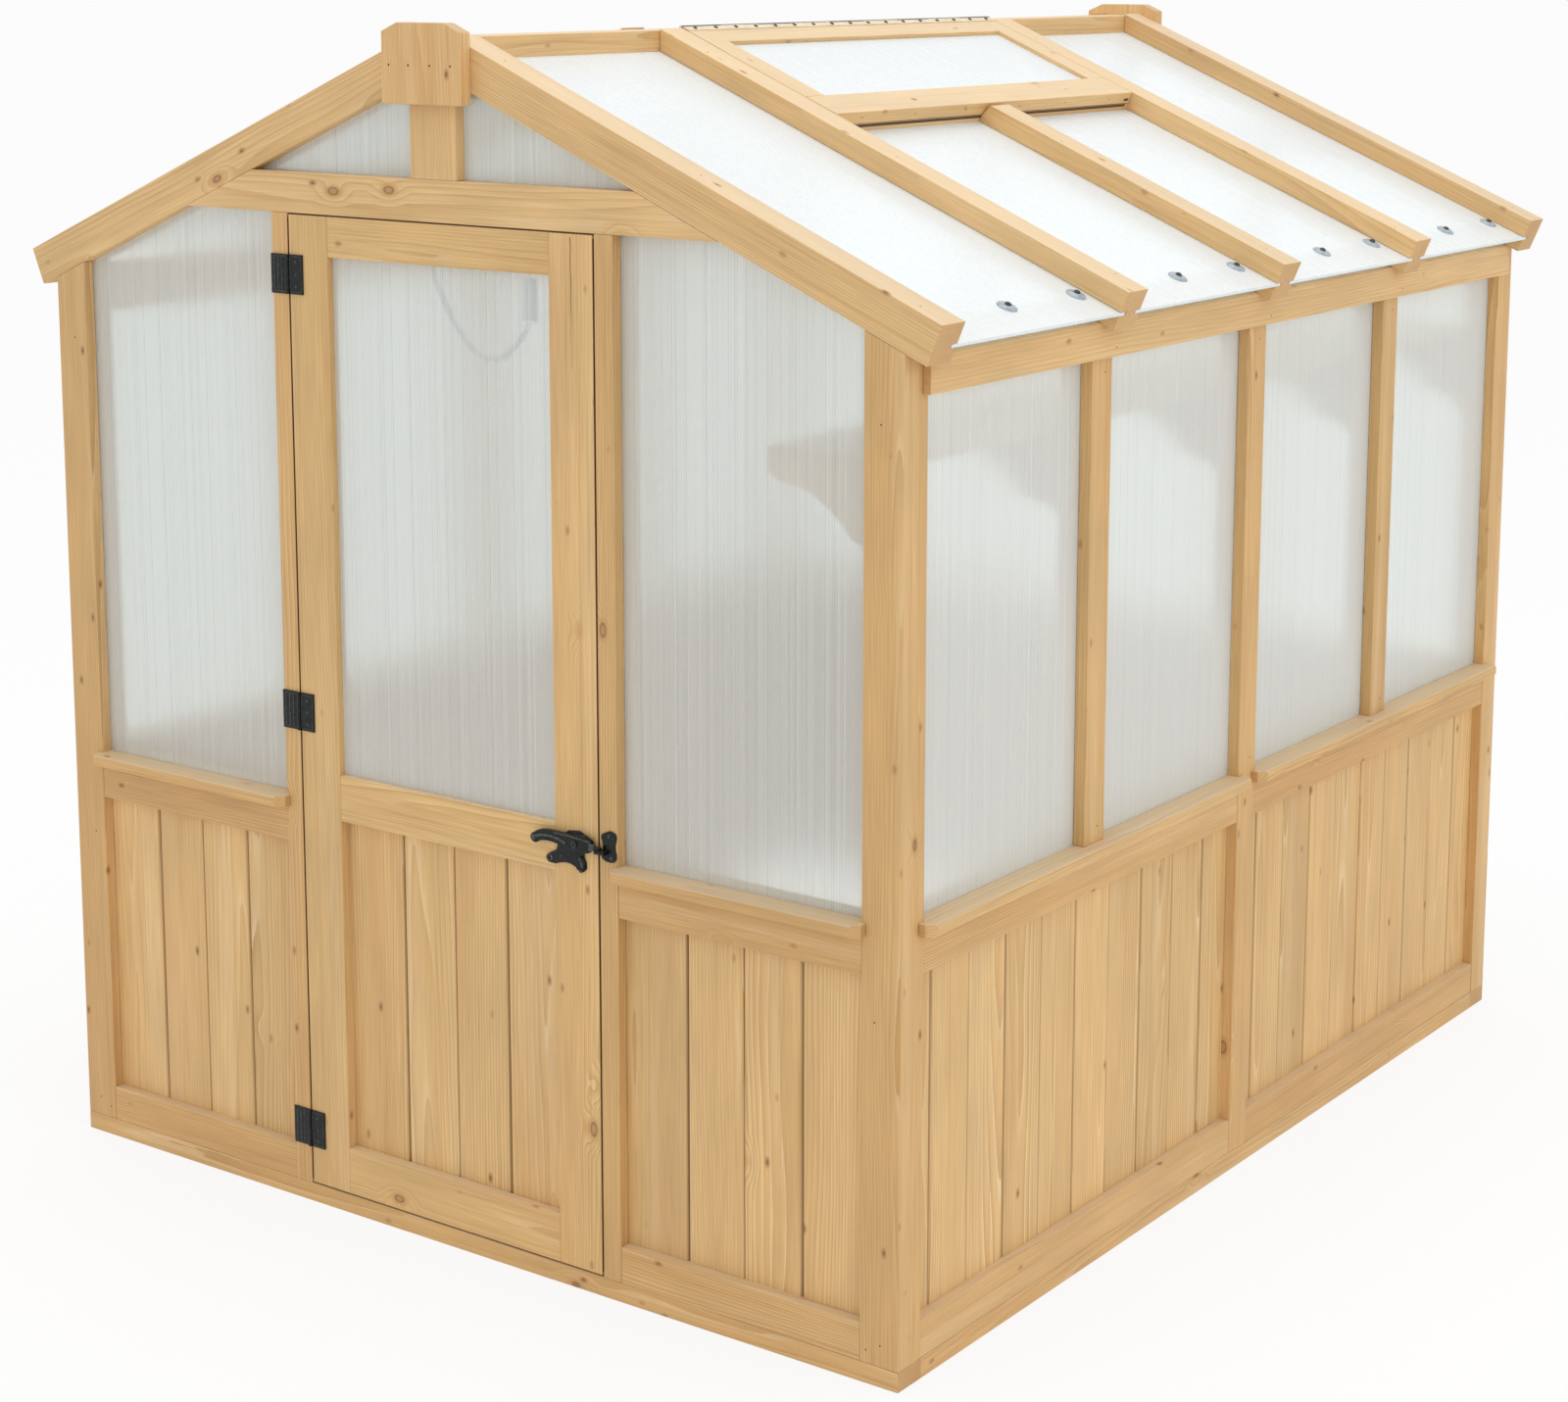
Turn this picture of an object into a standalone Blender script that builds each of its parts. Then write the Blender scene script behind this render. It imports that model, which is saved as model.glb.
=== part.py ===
# Wooden greenhouse, with a boarded base wall, panes in grooved timber, a gabled roof with a vent, and a door.
# Metres, Z up. X runs across the gable, Y from the door gable (front) to the back gable.
# The origin is at the middle of the footprint, on the ground.

import math

import bmesh
import bpy
from mathutils import Matrix, Vector

# Whole house
WIDTH = 2.000                 # over the outer faces of the long walls
DEPTH = 2.416                 # over the outer faces of the gable walls
GAP = 0.0003                  # clearance between neighbouring pieces
BASE_HEIGHT = 0.036
TIMBER = 0.068                # face width of posts, mullions and rafters, and depth of the walls
BAYS = 4                      # roof and window bays along the house

# Walls
CORNER_FACE = 0.079           # corner post, seen from the gable
BOTTOM_RAIL = 0.069
TOP_RAIL = 0.070
SILL_LEVEL = 0.785            # underside of the sills
SILL_THICK = 0.022
SILL_PROUD = 0.030
SILL_NOSE_RADIUS = 0.007
SILL_CHAMFER = 0.016
GABLE_HORN = 0.009            # sill past the side of a gable post
SIDE_HORN = 0.018             # side sill past the corner post's edge
CENTRE_HORN = 0.015           # side sill past the centre post's edge
RAIL_SETBACK = 0.001
BOARD_RECESS = 0.022
BOARD_THICK = 0.014
BOARD_TENON = 0.015           # board ends inside the rails
PLATE_LEVEL = 1.687           # underside of the eave plates
PLATE_FACE = 0.0633           # height of an eave plate at its outer face
PLATE_PROUD = 0.016
PLATE_LAP = 0.017             # eave plate past the corner post's edge

# Board joints: wide and narrow V grooves take turns
WIDE_JOINT = (0.0045, 0.0050)       # half width and depth
NARROW_JOINT = (0.0025, 0.0025)
SIDE_BOARD = 0.119
SIDE_FIRST_BOARD = 0.056
GABLE_BOARD = 0.123
DOOR_BOARD = 0.1265

# Panes
PANE = 0.006
PANE_RECESS = 0.024
GROOVE = 0.012                # depth of a pane groove in wall timber

# Roof
ROOF_PITCH = math.radians(23)
RAFTER_HEIGHT = 0.074         # square to the slope
EAVE_OVERHANG = 0.070         # rafter top past the wall face
ROOF_PANE = 0.006
ROOF_PANE_SINK = 0.040        # rafter top to pane top
RAFTER_NECK = 0.029           # timber left between two pane grooves
ROOF_PANE_LAP = 0.015         # pane edge inside its groove
RIDGE_THICK = 0.090
RIDGE_HEIGHT = 0.109
RIDGE_SET_DOWN = 0.004        # ridge top below the corner of the rafters
BLOCK_WIDTH = 0.185
BLOCK_TOP = 0.112             # flat top of a ridge block
BLOCK_RISE = 0.0253           # ridge block above the rafter tops
BLOCK_SIDE = 0.1265           # height of its side faces
BLOCK_THICK = 0.028

# Gable timbers
COLLAR_RISE = 0.227           # underside of the collar beams, above the eave plates'
COLLAR_HEIGHT = 0.075
KING_POST = 0.108

# Vent, let in between the second and fourth rafters of the right slope
VENT_REACH = 0.405            # lower edge, from the middle of the house
VENT_TOP_REACH = 0.107        # lower edge of the top rail
VENT_BOTTOM_RAIL = 0.070      # seen from above
VENT_STILE = 0.063
VENT_THICK = 0.025
VENT_SIDE_GAP = 0.003
VENT_SEAT_GAP = 0.0015
VENT_PANE_RECESS = 0.008
VENT_REBATE = 0.010
HEADER_WIDTH = 0.068
RAFTER_BEVEL = 0.0125         # back from the vent's edge, on the short rafter's upper end
VENT_HEAD_GAP = 0.001
STRIP_LEAF = 0.0012
STRIP_LEAF_WIDTH = 0.020      # pin to the edge of a leaf
STRIP_KNUCKLE_RADIUS = 0.0036
STRIP_PIN_RADIUS = 0.0012
STRIP_KNUCKLES = 9
STRIP_PIN_REACH = 0.040       # hinge axis, from the middle of the house

# Door
DOOR_OPENING = 0.728
DOOR_SIDE_GAP = 0.004
DOOR_HEAD_GAP = 0.003
DOOR_FOOT_GAP = 0.004
DOOR_POST = 0.040
DOOR_STOP = 0.014             # stop behind the door's edge
DOOR_THICK = 0.035
DOOR_STILE = 0.097
DOOR_TOP_RAIL = 0.074
DOOR_MID_RAIL = (0.777, 0.865)      # lower and upper edge, above the ground
DOOR_BOTTOM_RAIL = 0.091
DOOR_PANE_RECESS = 0.013
DOOR_BOARD_RECESS = 0.022
DOOR_BOARD_THICK = 0.012
DOOR_REBATE = 0.010

# Door hinges
HINGE_INSET = 0.110           # middle of the top and bottom hinges, from the door's ends
HINGE_HEIGHT = 0.073
HINGE_POST_LEAF = 0.0426      # pin to the edge of the leaf
HINGE_DOOR_LEAF = 0.0373
HINGE_LEAF = 0.0025
KNUCKLE_RADIUS = 0.0035
PIN_RADIUS = 0.0015
DOOR_KNUCKLES = 3

# Latch, with heights above the ground
LATCH_LEVEL = 0.838           # lever pivot and striker rest
LATCH_PIVOT_INSET = 0.042     # pivot from the door's edge
LATCH_PLATE = 0.003
LATCH_LEVER = 0.008
LATCH_PIN_RADIUS = 0.0035
LATCH_HEAD_RADIUS = 0.0060
LATCH_HEAD = 0.002
LEVER_STANDOFF = 0.003        # lever clear of the back plate
ROD_RADIUS = 0.0033
ROD_START = 0.025             # rod's hidden end in the lever, from the pivot
ROD_REACH = 0.014             # rod past the door's edge
STRIKER_PLATE = 0.0025
STRIKER_INSET = 0.0065        # striker plate from the post's inner edge
EYE_RADIUS = 0.0032

# Shelf along the right wall
SHELF_DROP = 0.117            # top of the board, below the underside of the eave plates
SHELF_THICK = 0.015
SHELF_WIDTH = 0.258
SHELF_END_GAP = 0.008
BRACKET_THICK = 0.026
BRACKET_DROP = 0.170          # along the wall

half_width = WIDTH / 2
half_depth = DEPTH / 2
slope = math.tan(ROOF_PITCH)
inner_y = half_depth - TIMBER                       # inner face of the gable walls
rafter_drop = RAFTER_HEIGHT / math.cos(ROOF_PITCH)
plate_reach = half_width + PLATE_PROUD
collar_level = PLATE_LEVEL + COLLAR_RISE
crown = PLATE_LEVEL + PLATE_FACE + rafter_drop + slope * plate_reach
rafter_pitch = (DEPTH - TIMBER) / BAYS
sill_top = SILL_LEVEL + SILL_THICK
post_inner = half_width - CORNER_FACE
door_half = DOOR_OPENING / 2
post_outer = door_half + DOOR_POST                  # door post, side away from the door
slot_near = PANE_RECESS - GAP                       # pane groove, measured in from the wall's face
slot_far = PANE_RECESS + PANE + GAP
groove_foot = sill_top - GROOVE
ridge_side = RIDGE_THICK / 2
ridge_top = crown - slope * ridge_side - RIDGE_SET_DOWN
ridge_bottom = ridge_top - RIDGE_HEIGHT
collar_top = collar_level + COLLAR_HEIGHT
eave_run = (half_width + EAVE_OVERHANG) / math.cos(ROOF_PITCH)
vent_run = VENT_REACH / math.cos(ROOF_PITCH)
vent_side = rafter_pitch - TIMBER / 2 - VENT_SIDE_GAP
door_front = -half_depth
door_edge = door_half - DOOR_SIDE_GAP
door_foot = BASE_HEIGHT + DOOR_FOOT_GAP
shelf_level = PLATE_LEVEL - SHELF_DROP
door_head = collar_level - DOOR_HEAD_GAP

for old in list(bpy.data.objects):
    bpy.data.objects.remove(old, do_unlink=True)

house = bpy.data.collections.new("wooden_greenhouse")
bpy.context.scene.collection.children.link(house)


def roof_level(x):
    """Height of the plane through the rafter tops."""
    return crown - slope * abs(x)


def rafter_underside(x):
    return roof_level(x) - rafter_drop


def finish(name, colour, roughness, metallic=0.0):
    material = bpy.data.materials.new(name)
    material.use_nodes = True
    shader = material.node_tree.nodes["Principled BSDF"]
    shader.inputs["Base Color"].default_value = (*colour, 1)
    shader.inputs["Roughness"].default_value = roughness
    shader.inputs["Metallic"].default_value = metallic
    material.diffuse_color = (*colour, 1)
    return material


wall_timber = finish("wall_timber", (0.66, 0.43, 0.20), 0.65)
board_timber = finish("board_timber", (0.58, 0.35, 0.15), 0.70)
roof_timber = finish("roof_timber", (0.70, 0.48, 0.25), 0.65)
door_timber = finish("door_timber", (0.67, 0.44, 0.21), 0.60)
wall_pane = finish("wall_pane", (0.75, 0.78, 0.73), 0.30)
roof_pane = finish("roof_pane", (0.86, 0.94, 0.96), 0.25)
black_iron = finish("black_iron", (0.015, 0.017, 0.018), 0.40, 0.6)
pale_steel = finish("pale_steel", (0.62, 0.60, 0.55), 0.35, 0.9)


class Axis:
    """An empty on a joint's axis; pieces that turn about it are its children."""

    def __init__(self, name, place, parent=None):
        self.place = Vector(place)
        self.empty = bpy.data.objects.new(name, None)
        self.empty.empty_display_size = 0.05
        self.empty.location = self.place
        if parent:
            self.empty.parent = parent.empty
            self.empty.location = self.place - parent.place
        house.objects.link(self.empty)


def put(name, mesh, material, axis=None):
    """Names a mesh made in world space as a piece, and hangs it on its axis."""
    mesh.name = name
    mesh.materials.clear()
    mesh.materials.append(material)
    piece = bpy.data.objects.new(name, mesh)
    house.objects.link(piece)
    if axis:
        mesh.transform(Matrix.Translation(-axis.place))
        piece.parent = axis.empty
    return piece


def rounded(mesh):
    mesh.shade_smooth()
    mesh.set_sharp_from_angle(angle=math.radians(35))
    return mesh


def box(x, y, z):
    low, high = (Vector(ends) for ends in zip(x, y, z))
    solid = bmesh.new()
    place = Matrix.Translation((low + high) / 2) @ Matrix.Diagonal((*(high - low), 1))
    bmesh.ops.create_cube(solid, size=1, matrix=place)
    mesh = bpy.data.meshes.new("box")
    solid.to_mesh(mesh)
    solid.free()
    return mesh


def rod(start, end, radius, sides=16):
    start, end = Vector(start), Vector(end)
    turn = (end - start).to_track_quat("Z", "Y").to_matrix().to_4x4()
    solid = bmesh.new()
    bmesh.ops.create_cone(
        solid, cap_ends=True, segments=sides, radius1=radius, radius2=radius,
        depth=(end - start).length, matrix=Matrix.Translation((start + end) / 2) @ turn,
    )
    mesh = bpy.data.meshes.new("rod")
    solid.to_mesh(mesh)
    solid.free()
    return mesh


def sweep(loops, thick, place, smooth=0):
    """A flat outline, with any holes after it, given thickness about its plane and moved by a matrix."""
    curve = bpy.data.curves.new("outline", "CURVE")
    curve.dimensions = "2D"
    curve.fill_mode = "BOTH"
    curve.extrude = thick / 2
    curve.resolution_u = max(smooth, 1)
    for loop in loops:
        spline = curve.splines.new("BEZIER" if smooth else "POLY")
        points = spline.bezier_points if smooth else spline.points
        points.add(len(loop) - 1)
        for point, (u, v) in zip(points, loop):
            if smooth:
                point.co = (u, v, 0)
                point.handle_left_type = point.handle_right_type = "AUTO"
            else:
                point.co = (u, v, 0, 1)
        spline.use_cyclic_u = True
    holder = bpy.data.objects.new("outline", curve)
    holder.matrix_world = place
    bpy.context.scene.collection.objects.link(holder)
    graph = bpy.context.evaluated_depsgraph_get()
    mesh = bpy.data.meshes.new_from_object(holder.evaluated_get(graph))
    solid = bmesh.new()
    solid.from_mesh(mesh)
    bmesh.ops.remove_doubles(solid, verts=solid.verts, dist=0.00001)
    bmesh.ops.dissolve_limit(solid, angle_limit=math.radians(0.05), verts=solid.verts, edges=solid.edges)
    bmesh.ops.recalc_face_normals(solid, faces=solid.faces)
    solid.to_mesh(mesh)
    solid.free()
    mesh.transform(holder.matrix_world)
    bpy.data.objects.remove(holder)
    bpy.data.curves.remove(curve)
    return mesh


# Each turns an outline's plane to stand square to the named axis.
FACING = {
    "x": Matrix(((0, 0, 1, 0), (1, 0, 0, 0), (0, 1, 0, 0), (0, 0, 0, 1))),
    "y": Matrix(((1, 0, 0, 0), (0, 0, -1, 0), (0, 1, 0, 0), (0, 0, 0, 1))),
    "z": Matrix.Identity(4),
}


def prism(axis, ends, *loops, smooth=0):
    """Outlines in the plane across an axis: (y, z) for x, (x, z) for y, (x, y) for z."""
    middle = Vector([sum(ends) / 2 if name == axis else 0 for name in "xyz"])
    place = Matrix.Translation(middle) @ FACING[axis]
    return sweep(loops, abs(ends[1] - ends[0]), place, smooth)


def circle(centre, radius, sides=16):
    turns = [2 * math.pi * step / sides for step in range(sides)]
    return [(centre[0] + radius * math.cos(turn), centre[1] + radius * math.sin(turn)) for turn in turns]


def rectangle(u, v):
    return [(u[0], v[0]), (u[1], v[0]), (u[1], v[1]), (u[0], v[1])]


def combine(operation, first, others):
    """Boolean join or cut of meshes, as one new mesh."""
    made = [bpy.data.objects.new("piece", mesh) for mesh in (first, *others)]
    bpy.context.scene.collection.objects.link(made[0])
    tools = bpy.data.collections.new("tools")
    bpy.context.scene.collection.children.link(tools)
    for other in made[1:]:
        tools.objects.link(other)
    change = made[0].modifiers.new(operation, "BOOLEAN")
    change.operation = operation
    change.operand_type = "COLLECTION"
    change.collection = tools
    graph = bpy.context.evaluated_depsgraph_get()
    result = bpy.data.meshes.new_from_object(made[0].evaluated_get(graph))
    for one in made:
        bpy.data.objects.remove(one)
    bpy.data.collections.remove(tools)
    return result


def join(first, *others):
    return combine("UNION", first, others)


def cut(first, *others):
    return combine("DIFFERENCE", first, others)


def slice_off(mesh, point, normal):
    """Cuts away what lies beyond a plane, on the side its normal points to."""
    solid = bmesh.new()
    solid.from_mesh(mesh)
    everything = [*solid.verts, *solid.edges, *solid.faces]
    made = bmesh.ops.bisect_plane(
        solid, geom=everything, dist=0.000001, plane_co=point, plane_no=normal, clear_outer=True
    )
    rim = [one for one in made["geom_cut"] if isinstance(one, bmesh.types.BMEdge)]
    bmesh.ops.holes_fill(solid, edges=rim, sides=0)
    bmesh.ops.recalc_face_normals(solid, faces=solid.faces)
    solid.to_mesh(mesh)
    solid.free()
    return mesh


def moved(mesh, place):
    mesh.transform(place)
    return mesh


def mirrored(mesh):
    """The left-hand twin of a right-hand piece."""
    twin = mesh.copy()
    twin.transform(Matrix.Diagonal((-1, 1, 1, 1)))
    twin.flip_normals()
    return twin


# A wall's own frame: u along the wall, v inward from its outer face, z up.
front_wall = Matrix.Translation((0, -half_depth, 0))
right_wall = Matrix.Translation((half_width, 0, 0)) @ Matrix.Rotation(math.radians(90), 4, "Z")
left_wall = Matrix.Translation((-half_width, 0, 0)) @ Matrix.Rotation(math.radians(-90), 4, "Z")
half_turn = Matrix.Rotation(math.radians(180), 4, "Z")      # front gable to back gable


def joints_from(start, end, first, board):
    """Places of the board joints between two ends, counted from the start."""
    places = []
    place = start + first
    while place < end - WIDE_JOINT[0] * 2:
        places.append(place)
        place += board
    return places


def centred_joints(start, end, board):
    middle = (start + end) / 2
    reach = int(((end - start) / 2 - board / 2) / board)
    return [middle + board * step for step in range(-reach, reach + 1)]


def boards(u, z, v, thick, joints):
    """Boards side by side as one slab, with V grooves at their joints."""
    face = [(u[0], v)]
    for count, place in enumerate(joints):
        half, depth = NARROW_JOINT if count % 2 else WIDE_JOINT
        face += [(place - half, v), (place, v + depth), (place + half, v)]
    face += [(u[1], v), (u[1], v + thick), (u[0], v + thick)]
    return prism("z", z, face)


def boarded_panel(start, end, joints):
    """Lower wall panel between two posts: two rails with boards let into them."""
    u = (start + GAP, end - GAP)
    v = (RAIL_SETBACK, TIMBER)
    low = BASE_HEIGHT + GAP
    slab = boards(
        u, (low + BOTTOM_RAIL - BOARD_TENON, SILL_LEVEL - TOP_RAIL + BOARD_TENON),
        BOARD_RECESS, BOARD_THICK, joints,
    )
    bottom = box(u, v, (low, low + BOTTOM_RAIL))
    top = box(u, v, (SILL_LEVEL - TOP_RAIL, SILL_LEVEL - GAP))
    return join(slab, bottom, top)


def sill(start, end, start_horn, end_horn):
    """Sill between two posts: grooved for the pane, its rounded nose running on past the posts."""
    inner = [
        (-SILL_PROUD / 2, SILL_LEVEL), (TIMBER, SILL_LEVEL), (TIMBER, sill_top), (slot_far, sill_top),
        (slot_far, groove_foot), (slot_near, groove_foot), (slot_near, sill_top), (-SILL_PROUD / 2, sill_top),
    ]
    body = prism("x", (start + GAP, end - GAP), inner)
    turns = [math.radians(90 - 180 * step / 8) for step in range(9)]
    nose = [(-GAP, SILL_LEVEL), (-GAP, sill_top)]
    for count, turn in enumerate(turns):
        level = sill_top - SILL_NOSE_RADIUS if count <= 4 else SILL_LEVEL + SILL_NOSE_RADIUS
        reach = -SILL_PROUD + SILL_NOSE_RADIUS
        nose.append((reach - SILL_NOSE_RADIUS * math.cos(turn), level + SILL_NOSE_RADIUS * math.sin(turn)))
    front = prism("x", (start - start_horn, end + end_horn), nose)
    for tip, side in ((start - start_horn, -1), (end + end_horn, 1)):
        slice_off(front, (tip - side * SILL_CHAMFER, -SILL_PROUD, 0), (side, -1, 0))
    return join(body, front)


def mullion(centre, foot):
    """Outer and inner batten with the pane's slot between them."""
    u = (centre - TIMBER / 2, centre + TIMBER / 2)
    z = (foot, PLATE_LEVEL - GAP)
    return box(u, (0, slot_near), z), box(u, (slot_far, TIMBER), z)


def pane_slot(u, z):
    return box(u, (slot_near, slot_far), z)


def sill_tenon(start, end):
    """Holds a sill to the top rail of the panel under it, where both are one piece."""
    levels = (SILL_LEVEL - SILL_THICK, SILL_LEVEL + SILL_THICK / 2)
    return box((start + TIMBER, end - TIMBER), (RAIL_SETBACK * 2, slot_near / 2), levels)


def rail_key(start, end):
    """Holds the bottom rails of neighbouring panels to the post between them, where they are one piece."""
    low = BASE_HEIGHT + BOARD_THICK
    return box((start, end), (BOARD_RECESS, TIMBER - BOARD_THICK), (low, low + BOTTOM_RAIL - 2 * BOARD_THICK))


def panel_with_sill(start, end):
    """Lower panel of a gable wall and the sill on it, as one piece."""
    panel = boarded_panel(start, end, centred_joints(start, end, GABLE_BOARD))
    return join(panel, sill_tenon(start, end), sill(start, end, GABLE_HORN, GABLE_HORN))


half_centre = TIMBER / 2
side_bays = ((-inner_y, -half_centre), (half_centre, inner_y))


def side_joints(start, end):
    return joints_from(start, end, SIDE_FIRST_BOARD, SIDE_BOARD)


def side_sill(start, end):
    """Sill of half a long wall, with its mullion standing on it."""
    ends = (SIDE_HORN, CENTRE_HORN) if start < 0 else (CENTRE_HORN, SIDE_HORN)
    battens = mullion(rafter_pitch if start > 0 else -rafter_pitch, sill_top - GROOVE / 2)
    return join(sill(start, end, *ends), *battens)


def centre_post():
    """Full-height post in the middle of a long wall, slotted for the panes above the sills."""
    post = box((-half_centre, half_centre), (0, TIMBER), (BASE_HEIGHT + GAP, PLATE_LEVEL - GAP))
    return cut(post, pane_slot((-TIMBER, TIMBER), (groove_foot, PLATE_LEVEL + GROOVE)))


def build_base():
    outer = rectangle((-half_width, half_width), (-half_depth, half_depth))
    clear_x, clear_y = half_width - TIMBER, half_depth - TIMBER
    inner = rectangle((-clear_x, clear_x), (-clear_y, clear_y))
    put("base_frame", prism("z", (0, BASE_HEIGHT), outer, inner), wall_timber)


def corner_post():
    """Front right corner post: top cut to the rafter, grooves for the panes of both walls."""
    low = BASE_HEIGHT + GAP
    outline = [
        (post_inner, low), (half_width, low), (half_width, rafter_underside(half_width) - GAP),
        (post_inner, rafter_underside(post_inner) - GAP),
    ]
    post = prism("y", (-half_depth, -inner_y), outline)
    top = roof_level(post_inner)
    side_slot = box(
        (half_width - slot_far, half_width - slot_near), (-inner_y - GROOVE, -inner_y + GROOVE),
        (groove_foot, top),
    )
    gable_slot = box(
        (post_inner - GROOVE, post_inner + GROOVE), (-half_depth + slot_near, -half_depth + slot_far),
        (groove_foot, top),
    )
    return cut(post, side_slot, gable_slot)


def door_post():
    """Right door post: a stop stands behind the door's edge, and a groove holds the window pane."""
    stop_face = DOOR_THICK + DOOR_SIDE_GAP / 2
    plan = [
        (door_half, 0), (post_outer, 0), (post_outer, TIMBER), (door_half - DOOR_STOP, TIMBER),
        (door_half - DOOR_STOP, stop_face), (door_half, stop_face),
    ]
    post = prism("z", (BASE_HEIGHT + GAP, collar_level - GAP), plan)
    slot = pane_slot((post_outer - GROOVE, post_outer + GROOVE), (groove_foot, collar_top))
    return moved(cut(post, slot), front_wall)


def collar_outline(inset):
    """Collar beam with its ends cut to the rafters, short of their undersides by an inset."""
    low = (crown - rafter_drop - collar_level) / slope
    high = (crown - rafter_drop - collar_top) / slope
    return [
        (-low + inset, collar_level), (low - inset, collar_level),
        (high - inset, collar_top), (-high + inset, collar_top),
    ]


def gable_window_outline():
    """Right-hand window of a gable: its top follows the rafter and the collar beam."""
    left, right = post_outer - GROOVE + GAP, post_inner + GROOVE - GAP
    bend = (crown - rafter_drop - collar_level) / slope
    low = groove_foot + GAP
    return [
        (left, low), (right, low), (right, rafter_underside(right) - GAP),
        (bend, collar_level - GAP), (left, collar_level - GAP),
    ]


def gable_top_outline():
    """The part of a gable pane that fits under the rafters and round the ridge beam, from right to left."""
    side = ridge_side + GAP
    right = [(side, rafter_underside(side) - GAP), (side, ridge_bottom - GAP)]
    return right + [(-x, z) for x, z in reversed(right)]


def build_front_wall():
    put("corner_post_front_right", corner_post(), wall_timber)
    put("corner_post_front_left", mirrored(corner_post()), wall_timber)
    put("door_post_right", door_post(), wall_timber)
    put("door_post_left", mirrored(door_post()), wall_timber)
    panel = moved(panel_with_sill(post_outer, post_inner), front_wall)
    put("boarded_panel_front_left", mirrored(panel), board_timber)
    put("boarded_panel_front_right", panel, board_timber)
    glass = (-half_depth + PANE_RECESS, -half_depth + PANE_RECESS + PANE)
    window = prism("y", glass, gable_window_outline())
    put("window_pane_front_left", mirrored(window), wall_pane)
    put("window_pane_front_right", window, wall_pane)
    collar = prism("y", (-half_depth, -inner_y), collar_outline(GAP / math.sin(ROOF_PITCH)))
    put("collar_beam_front", collar, wall_timber)
    foot = (crown - rafter_drop - collar_top - GAP * 2) / slope - GAP
    low = collar_top + GAP
    triangle = [(-foot, low), (foot, low), *gable_top_outline()]
    put("gable_pane_front", prism("y", glass, triangle), wall_pane)
    king = box(
        (-KING_POST / 2, KING_POST / 2), (-half_depth, -half_depth + slot_near), (low, ridge_bottom - GAP)
    )
    put("king_post_front", king, wall_timber)


def side_pane():
    """Glazing of a whole long wall, running through the slots of the mullions and the centre post."""
    reach = inner_y + GROOVE - GAP
    return box((-reach, reach), (PANE_RECESS, PANE_RECESS + PANE),
               (groove_foot + GAP, PLATE_LEVEL + GROOVE - GAP))


def build_right_wall():
    put("window_pane_right", moved(side_pane(), right_wall), wall_pane)
    put("centre_post_right", moved(centre_post(), right_wall), wall_timber)
    for name, (start, end) in zip(("front", "back"), side_bays):
        panel = boarded_panel(start, end, side_joints(start, end))
        put(f"boarded_panel_right_{name}", moved(panel, right_wall), board_timber)
        put(f"window_frame_right_{name}", moved(side_sill(start, end), right_wall), wall_timber)


def build_left_wall():
    """The left wall is one frame: two halves of panel, sill and mullion, tied by the centre post."""
    halves = []
    for start, end in side_bays:
        panel = boarded_panel(start, end, side_joints(start, end))
        halves.append(join(panel, sill_tenon(start, end), side_sill(start, end)))
    frame = join(centre_post(), rail_key(-TIMBER, TIMBER), *halves)
    put("wall_frame_left", moved(frame, left_wall), wall_timber)
    put("window_pane_left", moved(side_pane(), left_wall), wall_pane)


def eave_plate():
    """Right eave plate: bevelled under the rafters, grooved for the panes, its ends lapping the posts."""
    inside = half_width - TIMBER
    near, far = half_width - slot_near, half_width - slot_far
    section = [
        (inside, PLATE_LEVEL), (far, PLATE_LEVEL), (far, PLATE_LEVEL + GROOVE), (near, PLATE_LEVEL + GROOVE),
        (near, PLATE_LEVEL), (plate_reach, PLATE_LEVEL), (plate_reach, rafter_underside(plate_reach) - GAP),
        (inside, rafter_underside(inside) - GAP),
    ]
    plate = prism("y", (-inner_y - PLATE_LAP, inner_y + PLATE_LAP), section)
    notches = []
    for side in (-1, 1):
        ends = sorted((side * (inner_y - GAP), side * half_depth))
        notches.append(box((0, half_width + GAP), ends, (0, crown)))
    return cut(plate, *notches)


def build_eave_plates():
    plate = eave_plate()
    put("eave_plate_left", mirrored(plate), roof_timber)
    put("eave_plate_right", plate, roof_timber)


def back_wall_window():
    """One sheet for the whole back gable, shaped to the rafters and the ridge beam."""
    right = post_inner + GROOVE - GAP
    low = groove_foot + GAP
    outline = [(-right, low), (right, low), (right, rafter_underside(right) - GAP)]
    outline += [*gable_top_outline(), (-right, rafter_underside(right) - GAP)]
    return prism("y", (half_depth - PANE_RECESS - PANE, half_depth - PANE_RECESS), outline)


def build_back_wall():
    """Four posts, three panels and their sills, built as a front wall and turned round as one frame."""
    right_corner = corner_post()
    post_ends = (BASE_HEIGHT + GAP, collar_level - GAP)
    slot = pane_slot((-half_width, half_width), (groove_foot, collar_top))
    right_post = moved(cut(box((door_half, post_outer), (0, TIMBER), post_ends), slot), front_wall)
    reach = TIMBER / 2
    keys = []
    for start, end in ((door_half - reach, post_outer + reach), (post_inner - reach, half_width - reach)):
        key = moved(rail_key(start, end), front_wall)
        keys += [key, mirrored(key)]
    bays = ((-post_inner, -post_outer), (-door_half, door_half), (post_outer, post_inner))
    panels = [moved(panel_with_sill(*bay), front_wall) for bay in bays]
    posts = (right_corner, mirrored(right_corner), right_post, mirrored(right_post))
    put("wall_frame_back", moved(join(*posts, *keys, *panels), half_turn), wall_timber)
    put("window_pane_back", back_wall_window(), wall_pane)


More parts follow.
